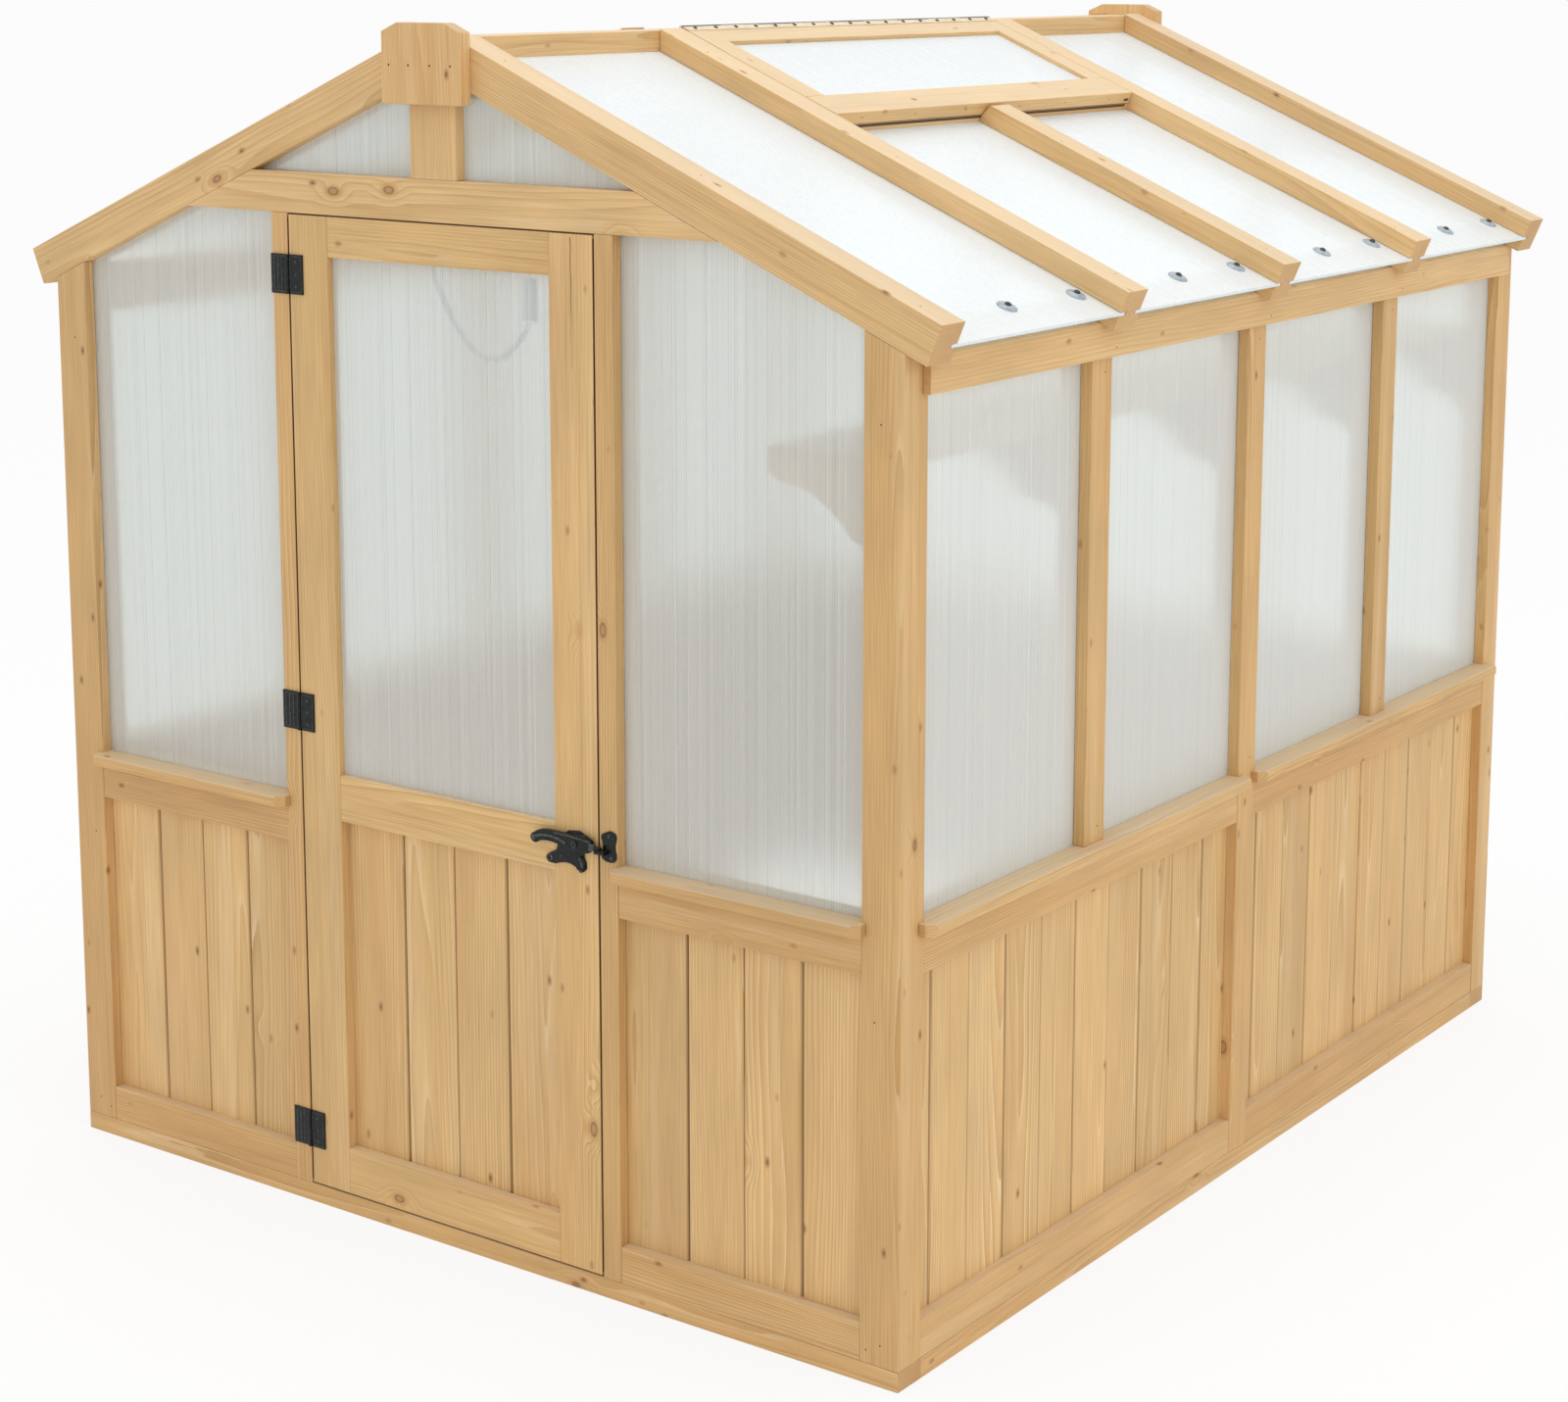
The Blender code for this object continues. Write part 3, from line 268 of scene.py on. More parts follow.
def turned(profile, centre, direction, segments):
    # a lathe-turned fitting: profile is (radius, height) from the foot up
    solid = bmesh.new()
    rings = []
    facing = Vector(direction).to_track_quat("Z", "Y").to_matrix().to_4x4()
    turns = [2 * math.pi * step / segments for step in range(segments)]
    for radius, height in profile:
        rings.append([solid.verts.new((radius * math.cos(turn), radius * math.sin(turn), height))
                      for turn in (turns if radius else turns[:1])])
    for low, high in zip(rings, rings[1:]):
        for step in range(segments):
            after = (step + 1) % segments
            corners = (low[step % len(low)], low[after % len(low)],
                       high[after % len(high)], high[step % len(high)])
            solid.faces.new(tuple(dict.fromkeys(corners)))
    if len(rings[0]) > 1:
        solid.faces.new(rings[0][::-1])
    if len(rings[-1]) > 1:
        solid.faces.new(rings[-1])
    bmesh.ops.recalc_face_normals(solid, faces=solid.faces)
    solid.transform(Matrix.Translation(centre) @ facing)
    return solid


def wire(points, radius, closed=False, sides=8):
    # a round wire through points, as mesh
    curve = bpy.data.curves.new("wire", "CURVE")
    curve.dimensions = "3D"
    curve.bevel_depth = radius
    curve.bevel_resolution = sides // 4 - 1
    curve.use_fill_caps = not closed
    spline = curve.splines.new("POLY")
    spline.points.add(len(points) - 1)
    for point, place in zip(spline.points, points):
        point.co = (*place, 1)
    spline.use_cyclic_u = closed
    holder = stand("wire", curve)
    scene = bpy.context.evaluated_depsgraph_get()
    mesh = bpy.data.meshes.new_from_object(holder.evaluated_get(scene))
    solid = bmesh.new()
    solid.from_mesh(mesh)
    bmesh.ops.remove_doubles(solid, verts=solid.verts, dist=0.000001)
    bmesh.ops.recalc_face_normals(solid, faces=solid.faces)
    bpy.data.objects.remove(holder)
    bpy.data.meshes.remove(mesh)
    bpy.data.curves.remove(curve)
    return solid


# Finishes

def newSkin(name):
    skin = bpy.data.materials.new(name)
    skin.use_nodes = True
    return skin, skin.node_tree, skin.node_tree.nodes["Principled BSDF"]


def feed(tree, node, sockets):
    for key, value in sockets.items():
        if isinstance(value, bpy.types.NodeSocket):
            tree.links.new(value, node.inputs[key])
        else:
            node.inputs[key].default_value = value


def addNode(tree, kind, sockets=None, **settings):
    made = tree.nodes.new("ShaderNode" + kind)
    for key, value in settings.items():
        setattr(made, key, value)
    feed(tree, made, sockets or {})
    return made


def bumps(tree, height, strength, distance):
    return addNode(tree, "Bump", {"Strength": strength, "Distance": distance, "Height": height}).outputs[0]


def sums(tree, operation, *numbers):
    return addNode(tree, "Math", dict(enumerate(numbers)), operation=operation).outputs[0]


def spread(tree, value, low, high, newLow=0.0, newHigh=1.0):
    return addNode(tree, "MapRange", {0: value, 1: low, 2: high, 3: newLow, 4: newHigh},
                   interpolation_type="SMOOTHSTEP").outputs[0]


def blendColours(tree, share, first, second, way="MIX"):
    sockets = {0: share, 6: first, 7: second}
    for key in (6, 7):
        if isinstance(sockets[key], tuple):
            sockets[key] = (*sockets[key], 1)
    return addNode(tree, "Mix", sockets, data_type="RGBA", blend_type=way).outputs[2]


def colourRamp(tree, value, stops):
    ramp = addNode(tree, "ValToRGB", {0: value})
    while len(ramp.color_ramp.elements) < len(stops):
        ramp.color_ramp.elements.new(0.5)
    for element, (place, colour) in zip(ramp.color_ramp.elements, stops):
        element.position = place
        element.color = (*colour, 1)
    return ramp.outputs[0]


def timberSkin(name, look):
    skin, tree, shader = newSkin(name)
    grain = addNode(tree, "Attribute", attribute_name="grain").outputs["Vector"]
    growth = addNode(tree, "Attribute", attribute_name="tree").outputs["Vector"]
    tone = addNode(tree, "Attribute", attribute_name="tone").outputs["Fac"]
    seam = addNode(tree, "Attribute", attribute_name="seam").outputs["Fac"]

    def vectors(operation, *terms, output=0):
        return addNode(tree, "VectorMath", dict(enumerate(terms)), operation=operation).outputs[output]

    def stretched(lengthwise, across):
        return vectors("MULTIPLY", grain, (lengthwise, across, across))

    def cloud(lengthwise, across, detail=2.0, output="Fac"):
        return addNode(tree, "TexNoise", {"Vector": stretched(lengthwise, across), "Scale": 1.0,
                                          "Detail": detail}).outputs[output]

    def toHeart(cell):
        # distance to the heart of the nearest knot, in cells
        return addNode(tree, "TexVoronoi", {"Vector": stretched(0.55 / cell, 1 / cell),
                                            "Scale": 1.0}).outputs["Distance"]

    def patches(low, high, *size):
        return spread(tree, cloud(*size), low, high)

    def near(distance, reach, end, most=1):
        return spread(tree, distance, reach, end, most, 0)

    def layer(under, part, share, strength=1.0):
        if strength != 1.0:
            share = sums(tree, "MULTIPLY", share, strength)
        return blendColours(tree, share, under, look[part])

    # rings wander slowly along the tree, and swing round its knots
    wander = vectors("SUBTRACT", cloud(0.8, 6, output="Color"), (0.5, 0.5, 0.5))
    bent = vectors("MULTIPLY_ADD", wander, (0, look["wander"], look["wander"]), grain)
    ragged = vectors("MULTIPLY_ADD", cloud(5, 70, output="Color"), (0, 0.0016, 0.0016), bent)
    big, bigRadius = toHeart(look["knotEvery"]), look["knotRadius"] / look["knotEvery"]
    small, smallRadius = toHeart(look["pinEvery"]), look["pinRadius"] / look["pinEvery"]
    swing = sums(tree, "MULTIPLY", near(big, bigRadius * 0.6, bigRadius * 4), 0.010)
    swung = vectors("ADD", ragged, addNode(tree, "CombineXYZ", {1: swing, 2: swing}).outputs[0])
    rings = addNode(tree, "TexWave", {"Vector": swung, "Scale": 0.314 / look["ringGap"], "Distortion": 0.0},
                    wave_type="RINGS", rings_direction="X", wave_profile="SAW").outputs["Fac"]
    colour = colourRamp(tree, rings, [
        (0.0, look["glint"]), (0.07, look["glint"]), (0.16, look["early"]), (0.60, look["middle"]),
        (0.92, look["late"]), (1.0, look["late"])])
    calm = spread(tree, cloud(0.6, 11), 0.38, 0.64, *look["calm"])      # figure fades in places
    colour = layer(colour, "middle", calm)

    # pale and honey streaks, fine fibres, and each timber's own tone
    colour = layer(colour, "streak", patches(0.50, 0.72, 0.45, 16), look["streakShare"])
    colour = layer(colour, "warm", patches(0.48, 0.75, 0.7, 9, 3.0), look["warmShare"])
    colour = layer(colour, "halo", patches(0.58, 0.76, 0.9, 110, 1.0), look["resinShare"])
    fibre = cloud(7, 650, 3.0)
    strength = addNode(tree, "MapRange", {0: fibre, 1: 0.3, 2: 0.7, 3: 0.86, 4: 1.10}).outputs[0]
    strength = sums(tree, "MULTIPLY", strength, spread(tree, cloud(3.5, 14, 3.0), 0.3, 0.7, 0.95, 1.05))
    strength = sums(tree, "MULTIPLY", strength, sums(tree, "MULTIPLY_ADD", tone, look["toneSpread"], 1.0))
    grey = addNode(tree, "CombineXYZ", {0: strength, 1: strength, 2: strength}).outputs[0]
    colour = blendColours(tree, 1.0, colour, grey, "MULTIPLY")

    # faces that look up are painted paler, as painted light from above, and end grain has drunk more of the
    # stain
    facing = addNode(tree, "SeparateXYZ", {0: addNode(tree, "NewGeometry").outputs["Normal"]}).outputs[2]
    colour = layer(colour, "pale", spread(tree, facing, 0.55, 0.92, 0, look["topLightShare"]))
    ownNormal = addNode(tree, "TexCoord").outputs["Normal"]
    lengthwise = sums(tree, "ABSOLUTE", vectors("DOT_PRODUCT", ownNormal, growth, output="Value"))
    colour = layer(colour, "end", spread(tree, lengthwise, 0.60, 0.90, 0, look["endShare"]))

    # ring knots and pin knots: a halo, a dark rim and a brown heart
    colour = layer(colour, "halo", near(big, bigRadius, bigRadius * 1.9, 0.55))
    heart = near(big, bigRadius * 0.75, bigRadius * 1.05)
    rim = sums(tree, "SUBTRACT", heart, near(big, bigRadius * 0.45, bigRadius * 0.8))
    colour = layer(colour, "knot", heart, 0.55)
    colour = layer(colour, "knotRim", rim, 0.6)
    colour = layer(colour, "knot", near(small, smallRadius, smallRadius * 2.1, 0.65))
    pin = near(small, smallRadius * 0.4, smallRadius * 1.1, 0.75)
    colour = layer(colour, "knotRim", pin)
    # painted shade along the foot of the board grooves
    colour = layer(colour, "seam", seam, look["seamShare"])

    rough = addNode(tree, "MapRange", {0: fibre, 1: 0.3, 2: 0.7, 3: look["roughness"] - 0.05,
                                       4: look["roughness"] + 0.07}).outputs[0]
    height = sums(tree, "ADD", sums(tree, "MULTIPLY", rings, 0.35), fibre)
    height = sums(tree, "SUBTRACT", height, sums(tree, "MULTIPLY", pin, 0.8))
    relief = bumps(tree, height, 0.22, 0.0006)
    feed(tree, shader, {"Base Color": colour, "Roughness": rough, "Normal": relief})
    return skin


plainPine = {
    "early": (0.702, 0.449, 0.190), "middle": (0.662, 0.408, 0.162), "late": (0.558, 0.311, 0.106),
    "glint": (0.780, 0.550, 0.290), "streak": (0.775, 0.540, 0.280), "streakShare": 0.50,
    "warm": (0.600, 0.320, 0.115), "warmShare": 0.45, "calm": (0.12, 0.70), "resinShare": 0.35,
    "halo": (0.540, 0.285, 0.100), "knot": (0.420, 0.205, 0.078), "knotRim": (0.190, 0.082, 0.034),
    # pale is painted light for faces that look up, blended in by the share that follows it
    "seam": (0.120, 0.060, 0.026), "seamShare": 0.80, "pale": (0.800, 0.710, 0.540), "topLightShare": 0.40,
    "end": (0.430, 0.225, 0.080), "endShare": 0.40,
    "ringGap": 0.0052, "wander": 0.045, "toneSpread": 0.060, "roughness": 0.56,
    "knotEvery": 0.150, "knotRadius": 0.0085, "pinEvery": 0.062, "pinRadius": 0.0036,
}
timberLooks = {
    "wall_timber": dict(plainPine),
    "board_timber": dict(
        plainPine, early=(0.762, 0.516, 0.240), middle=(0.712, 0.459, 0.194), late=(0.588, 0.347, 0.129),
        glint=(0.838, 0.636, 0.356), streakShare=0.55, ringGap=0.0070, wander=0.060, toneSpread=0.08,
        calm=(0.05, 0.65), knotEvery=0.20, pinEvery=0.080, pinRadius=0.0038),
    "roof_timber": dict(
        plainPine, early=(0.780, 0.523, 0.241), middle=(0.735, 0.477, 0.210), late=(0.640, 0.384, 0.149)),
    "door_timber": dict(
        plainPine, early=(0.750, 0.500, 0.218), middle=(0.710, 0.459, 0.189), late=(0.610, 0.357, 0.128),
        streakShare=0.55),
}
timberSkins = {slot: timberSkin(slot + "_skin", look) for slot, look in timberLooks.items()}


def paneSkin(name, look):
    # clear twin-wall sheet: webs between the two skins show as fine lines along the sheet
    skin, tree, shader = newSkin(name)
    sheet = addNode(tree, "Attribute", attribute_name="grain").outputs["Vector"]

    def stripes(across, along, detail, roughness):
        drawn = addNode(tree, "VectorMath", {0: sheet, 1: (across, along, 0)}, operation="MULTIPLY")
        return addNode(tree, "TexNoise", {"Vector": drawn.outputs[0], "Scale": 1.0, "Detail": detail,
                                          "Roughness": roughness}).outputs["Fac"]

    place = addNode(tree, "SeparateXYZ", {0: sheet}).outputs[0]
    beat = sums(tree, "PINGPONG", sums(tree, "DIVIDE", place, look["pitch"]), 0.5)
    web = spread(tree, beat, 0.02, 0.16, 1, 0)
    broad = stripes(150, 0.10, 2.0, 0.6)
    uneven = spread(tree, broad, 0.42, 0.70)
    fine = spread(tree, stripes(480, 0.08, 1.0, 0.5), 0.53, 0.70)
    webDark = sums(tree, "MULTIPLY_ADD", uneven, look["webShare"], look["webLeast"])
    dark = sums(tree, "MULTIPLY_ADD", fine, look["fineShare"], sums(tree, "MULTIPLY", web, webDark))
    clear = sums(tree, "SUBTRACT", look["clear"], sums(tree, "MULTIPLY", uneven, look["unevenShare"]))
    leaving = addNode(tree, "NewGeometry").outputs["Backfacing"]        # light on its way out of the sheet
    feed(tree, shader, {
        "Base Color": blendColours(tree, dark, look["colour"], look["web"]),
        "Transmission Weight": sums(tree, "MAXIMUM", clear, leaving),
        "Roughness": spread(tree, broad, 0.3, 0.7, look["roughness"] - 0.04, look["roughness"] + 0.05),
        "IOR": look["ior"], "Normal": bumps(tree, beat, look["relief"], 0.0005)})
    return skin


wallPane = {
    "colour": (0.962, 1.000, 0.980), "web": (0.50, 0.54, 0.53), "webShare": 0.55, "webLeast": 0.03,
    "fineShare": 0.42, "clear": 0.50, "unevenShare": 0.10, "roughness": 0.36, "ior": 1.12, "pitch": 0.006,
    "relief": 0.05,
}
paneLooks = {                           # the long walls get a milkier copy of the gable sheet: painted light, so they render brighter than the gables
    "wall_pane": wallPane,
    "lit_side_pane": dict(wallPane, clear=0.41),
    "roof_pane": {"colour": (0.932, 0.985, 1.000), "web": (0.82, 0.87, 0.90), "webShare": 0.03,
                  "webLeast": 0.01, "fineShare": 0.02, "clear": 0.25, "unevenShare": 0.0, "roughness": 0.24,
                  "ior": 1.12, "pitch": 0.006, "relief": 0.0},
}
paneSkins = {slot: paneSkin(slot + "_skin", look) for slot, look in paneLooks.items()}


def metalSkin(name, look):
    # cast, pressed or plated metal: mottled colour, uneven polish and a fine tooth
    skin, tree, shader = newSkin(name)
    place = addNode(tree, "TexCoord").outputs["Object"]

    def noise(scale, detail):
        return addNode(tree, "TexNoise", {"Vector": place, "Scale": scale, "Detail": detail}).outputs["Fac"]

    mottle = noise(look["mottle"], 4.0)
    feed(tree, shader, {
        "Base Color": colourRamp(tree, mottle, [(0.35, look["dark"]), (0.65, look["pale"])]),
        "Roughness": spread(tree, mottle, 0.3, 0.7, look["roughness"] - 0.08, look["roughness"] + 0.10),
        "Metallic": look["metal"], "Specular IOR Level": look.get("shine", 0.5),
        "Normal": bumps(tree, noise(1600.0, 2.0), look["tooth"], 0.0002)})
    return skin


metalLooks = {
    "blackIron": {"dark": (0.004, 0.005, 0.005), "pale": (0.014, 0.016, 0.016), "metal": 0.0,
                  "roughness": 0.27, "mottle": 90.0, "tooth": 0.25, "shine": 0.24},
    # paler iron for the raised wires, ribs and screws: painted highlight along their edges
    "paintedHighlightIron": {"dark": (0.030, 0.034, 0.034), "pale": (0.085, 0.094, 0.092), "metal": 0.30,
                 "roughness": 0.25, "mottle": 160.0, "tooth": 0.15},
    "hingeBrass": {"dark": (0.70, 0.56, 0.36), "pale": (0.82, 0.70, 0.50), "metal": 0.20,
                   "roughness": 0.42, "mottle": 45.0, "tooth": 0.15},
    "washerGrey": {"dark": (0.30, 0.35, 0.39), "pale": (0.44, 0.50, 0.54), "metal": 0.10,
                   "roughness": 0.40, "mottle": 120.0, "tooth": 0.10},
    # dark steel of the screws, also for the vent hinge's sleeves, where it partly paints the shade of the
    # hinge's gap
    "screwSteelAndGapShade": {"dark": (0.035, 0.032, 0.030), "pale": (0.080, 0.075, 0.070), "metal": 0.40,
                   "roughness": 0.42, "mottle": 300.0, "tooth": 0.20},
    "fluteMouth": {"dark": (0.70, 0.82, 0.88), "pale": (0.80, 0.90, 0.95), "metal": 0.0,
                   "roughness": 0.45, "mottle": 200.0, "tooth": 0.10},
    "springZinc": {"dark": (0.22, 0.31, 0.34), "pale": (0.36, 0.47, 0.51), "metal": 0.40,
                   "roughness": 0.38, "mottle": 80.0, "tooth": 0.12},
    # brown of the nails, also used for dark strips that paint shade in the vent's gap and notches and in the
    # door's split
    "nailAndShadeBrown": {"dark": (0.050, 0.028, 0.014), "pale": (0.110, 0.062, 0.030), "metal": 0.10,
                  "roughness": 0.70, "mottle": 500.0, "tooth": 0.30},
    # dark brown for strips put in the door's gaps: painted shade
    "gapShadeBrown": {"dark": (0.085, 0.040, 0.018), "pale": (0.140, 0.070, 0.032), "metal": 0.0,
                  "roughness": 0.90, "mottle": 700.0, "tooth": 0.40},
}
metals = {name: metalSkin(name + "_skin", look) for name, look in metalLooks.items()}
print("finishes ready")


# Walls

def dress(shape, name, slot, replaced, body="house", look=None):
    shape.build(name, body, timberSkins[look or slot], slot, replaced)


def addMembers(name, slot, replaced, members, body="house", look=None):
    shape = Shape()
    for member in members:
        shape.timber(*member)
    dress(shape, name, slot, replaced, body, look)


def singleTimber(name, along, slot, look=None, easeWidth=0.0013):
    addMembers(name + "_wood", slot, (name,), [(cutOut(name), along, None, easeWidth)], look=look)


for side in sideSigns:
    singleTimber("corner_post_front_" + side, alongZ, "wall_timber", easeWidth=0.0018)
    singleTimber("door_post_" + side, alongZ, "wall_timber")
# the collar and king post take the paler roof pine: painted light, offsetting the shade under the ridge
singleTimber("collar_beam_front", alongX, "wall_timber", "roof_timber")
singleTimber("king_post_front", alongZ, "wall_timber", "roof_timber")
singleTimber("centre_post_right", alongZ, "wall_timber", easeWidth=0.0018)

baseBeams = []                          # front and back beams run full width, side beams butt between them
for long, side in (((None, hair - innerY), (None, 0)), ((innerY - hair, None), (0, None))):
    butted = between("y", hair - innerY, innerY - hair) + between("x", *side)
    baseBeams += [(cutOut("base_frame", between("y", *long)), alongX), (cutOut("base_frame", butted), alongY)]
addMembers("base_frame_wood", "wall_timber", ("base_frame",), baseBeams)

panel = {                               # boarded panels: rail lines above the ground, and board widths
    "bottomRailTop": 0.1053, "topRailFoot": 0.715, "sillFoot": 0.785, "boardEase": 0.0006,
    "gableBoard": 0.123, "sideBoard": 0.119, "sideFirstBoard": 0.056, "leastBoard": 0.009,
}


def centredJoints(start, end, board):
    reach = int(((end - start) / 2 - board / 2) / board)
    return [(start + end) / 2 + board * step for step in range(-reach, reach + 1)]


def jointsFrom(start, end):
    places, place = [], start + panel["sideFirstBoard"]
    while place < end - panel["leastBoard"]:
        places.append(place)
        place += panel["sideBoard"]
    return places


def addBoards(boards, nodeName, axis, ends, joints, planes=(), turn=None):
    edges = [ends[0], *joints, ends[1]]
    for low, high in zip(edges, edges[1:]):
        seams = [(axis, place) for place in (low, high) if place in joints]
        board = cutOut(nodeName, [*planes, *between(axis, low, high)])
        boards.timber(board, alongZ, turn, panel["boardEase"], seams)


def addPanel(rails, boards, nodeName, axis, ends, joints, turn=None):
    # rails of a boarded panel go to one shape, its boards to another
    bottom, top = panel["bottomRailTop"] + hair, panel["topRailFoot"] - hair
    for levels in ((0, bottom), (top, panel["sillFoot"] - hair)):
        planes = between(axis, *ends) + between("z", *levels)
        rails.timber(cutOut(nodeName, planes), unit[axis], turn)
    addBoards(boards, nodeName, axis, ends, joints, between("z", bottom, top), turn)


def addSill(rails, nodeName, axis, turn=None, longer=0.0, centre=0.0):
    sill = cutOut(nodeName, between("z", panel["sillFoot"] - hair, sillTop + hair))
    for vertex in sill.verts:
        vertex.co += unit[axis] * math.copysign(longer / 2, vertex.co.dot(unit[axis]) - centre)
    rails.timber(sill, unit[axis], turn)


gableBays = {"left": (-postInner, -postOuter), "right": (postOuter, postInner)}
sideBays = {"front": (-innerY, -timberFace / 2), "back": (timberFace / 2, innerY)}


def addGablePanel(rails, boards, side, turn=None):
    name, ends = "boarded_panel_front_" + side, gableBays[side]
    addPanel(rails, boards, name, "x", ends, centredJoints(*ends, panel["gableBoard"]), turn)
    addSill(rails, name, "x", turn)


def addSideHalf(rails, boards, half, turn=None):
    # half of a long wall: panel, sill and the battens of its mullion
    ends, window = sideBays[half], "window_frame_right_" + half
    addPanel(rails, boards, "boarded_panel_right_" + half, "y", ends, jointsFrom(*ends), turn)
    addSill(rails, window, "y", turn)
    rails.timber(cutOut(window, between("z", sillTop + hair, None)), alongZ, turn)


for side in sideSigns:
    name = "boarded_panel_front_" + side
    rails, boards = Shape(), Shape()
    addGablePanel(rails, boards, side)
    dress(rails, name + "_rails", "wall_timber", (name,))
    dress(boards, name + "_boards", "board_timber", (name,))

for half in sideBays:
    name = "boarded_panel_right_" + half
    rails, boards = Shape(), Shape()
    addSideHalf(rails, boards, half)
    dress(rails, "window_and_rails_right_" + half, "wall_timber", ("window_frame_right_" + half, name))
    dress(boards, "boards_right_" + half, "board_timber", (name,))

rails, boards = Shape(), Shape()        # the left wall is the right one turned round
for half in sideBays:
    addSideHalf(rails, boards, half, halfTurn)
rails.timber(cutOut("centre_post_right"), alongZ, halfTurn)
dress(rails, "wall_frame_left_wood", "wall_timber", ("wall_frame_left",))
dress(boards, "wall_frame_left_boards", "board_timber", ("wall_frame_left",))

rails, boards = Shape(), Shape()        # back gable wall: posts, two narrow panels and a wide one
for side, sign in sideSigns.items():
    rails.timber(cutOut("corner_post_front_" + side), alongZ, halfTurn)
    addGablePanel(rails, boards, side, halfTurn)
    faces = sorted((sign * doorHalf, sign * postOuter))
    post = bar((faces[0], innerY, baseHeight + hair), (faces[1], halfDepth, collarLow.z - hair))
    rails.timber(post, alongZ)
wide = (hair - doorHalf, doorHalf - hair)
addPanel(rails, boards, "wall_frame_back", "x", wide, centredJoints(*wide, panel["gableBoard"]))
middle = (postOuter + postInner) / 2
toCentre = halfTurn @ Matrix.Translation((-middle, 0, 0))
addSill(rails, "boarded_panel_front_right", "x", toCentre, 2 * doorHalf - (postInner - postOuter), middle)
dress(rails, "wall_frame_back_wood", "wall_timber", ("wall_frame_back",))
dress(boards, "wall_frame_back_boards", "board_timber", ("wall_frame_back",))

shelfBoard = 0.015
boardFoot = shelfTop - shelfBoard - hair                # one board on scroll brackets
addMembers("shelf_right_wood", "wall_timber", ("shelf_right",), [
    (cutOut("shelf_right", between("z", boardFoot, None)), alongY),
    (cutOut("shelf_right", between("z", None, boardFoot)), alongZ)])
print("walls and shelf built")


# Roof

for side, sign in sideSigns.items():
    singleTimber("eave_plate_" + side, alongY, "roof_timber")
    for count in range(1, 5):
        if (side, count) != ("right", 3):
            name = f"rafter_{side}_{count}"
            singleTimber(name, toRight(downSlope, sign), "roof_timber", easeWidth=0.0016)
singleTimber("ridge_beam", alongY, "roof_timber", easeWidth=0.0018)
singleTimber("ridge_block_front", alongZ, "roof_timber", easeWidth=0.0016)

faceReach = timberFace / 2 + hair       # middle rafter below the vent, and the header either side of it
addMembers("rafter_right_3_wood", "roof_timber", ("rafter_right_3",), [
    (cutOut("rafter_right_3", between("y", *ends)), along) for ends, along in (
        ((-faceReach, faceReach), downSlope), ((None, -faceReach), alongY), ((faceReach, None), alongY))])

backTruss = {                           # the back gable is the front one turned round
    "rafter_left_1": toRight(downSlope, -1), "rafter_right_1": downSlope, "collar_beam_front": alongX,
    "king_post_front": alongZ, "ridge_block_front": alongZ,
}
addMembers("gable_frame_back_wood", "roof_timber", ("gable_frame_back",), [
    (cutOut(name), along, halfTurn) for name, along in backTruss.items()])

vent = {"reach": 0.405, "bottomRail": 0.070, "stile": 0.063, "overlap": 0.01}
crownStart = onSlope(0, 0, 0).dot(downSlope)


def slopePlace(reach):
    # where a distance from the middle of the house falls along the slope
    return crownStart + reach / math.cos(roofPitch)


# the vent's bottom rail runs full width, its stiles and top rail above it
railTop = slopePlace(vent["reach"] - vent["bottomRail"] - hair)
topRailFoot = railTop - vent["overlap"] / math.cos(roofPitch)
stileY = ventHigh.y - vent["stile"] - hair
upper = between("slope", None, railTop)
addMembers("vent_frame_wood", "roof_timber", ("vent_frame",), [
    (cutOut("vent_frame", planes), along) for planes, along in (
        (between("slope", railTop, None), alongY),
        (upper + between("y", None, -stileY), downSlope), (upper + between("y", stileY, None), downSlope),
        (between("slope", None, topRailFoot) + between("y", -stileY, stileY), alongY))], "vent")
print("roof built")


# Door

door = {"stile": 0.097, "topRail": 0.074, "midRail": (0.777, 0.865), "bottomRail": 0.091, "board": 0.1265}
stileX = doorHigh.x - door["stile"] - hair
doorMembers = [(between("x", *ends), alongZ) for ends in ((None, -stileX), (stileX, None))]
for levels in ((doorHigh.z - door["topRail"] - hair, None),
               (door["midRail"][0] - hair, door["midRail"][1] + hair),
               (None, doorLow.z + door["bottomRail"] + hair)):
    doorMembers.append((between("x", -stileX, stileX) + between("z", *levels), alongX))
addMembers("door_frame_wood", "door_timber", ("door_frame",), [
    (cutOut("door_frame", planes), along) for planes, along in doorMembers], "door")

boards = Shape()
addBoards(boards, "door_boards", "x", (None, None), centredJoints(-stileX, stileX, door["board"]))
dress(boards, "door_boards_wood", "board_timber", ("door_boards",), "door")
print("door built")


# Panes

flute = {"pitch": 0.006, "depth": {"wall_pane": 0.00010, "roof_pane": 0.00001}}


def fluted(name, nodeName, planes=(), slot="wall_pane", across=alongX, outward=alongY, body="house",
           look=None):
    # a sheet with shallow flutes pressed between its webs, on both faces
    sheet = cutOut(nodeName, planes)
    places = [vertex.co.dot(across) for vertex in sheet.verts]
    level = sum(vertex.co.dot(outward) for vertex in sheet.verts) / len(sheet.verts)
    low, high, half = min(places), max(places), flute["pitch"] / 2
    steps = int((high - low) / flute["pitch"])
    start = (low + high) / 2 - steps * half
    for step in range(2 * steps + 1):
        place = start + step * half
        if low + hair < place < high - hair:
            bmesh.ops.bisect_plane(sheet, geom=[*sheet.verts, *sheet.edges, *sheet.faces], dist=0.000001,
                                   plane_co=across * place, plane_no=across)
    along = across.cross(outward)
    grain = []
    sheet.verts.index_update()
    for vertex in sheet.verts:
        place = vertex.co.dot(across) - start
        count = round(place / half)
        if abs(place - count * half) < hair / 2 and count % 2 == 0:
            vertex.co -= outward * math.copysign(flute["depth"][slot], vertex.co.dot(outward) - level)
        grain.append(Vector((place, vertex.co.dot(along), 0)))
    shape = Shape()
    shape.take(sheet, grain=grain)
    shape.build(name, body, paneSkins[look or slot], slot, (nodeName,), sharp=30)


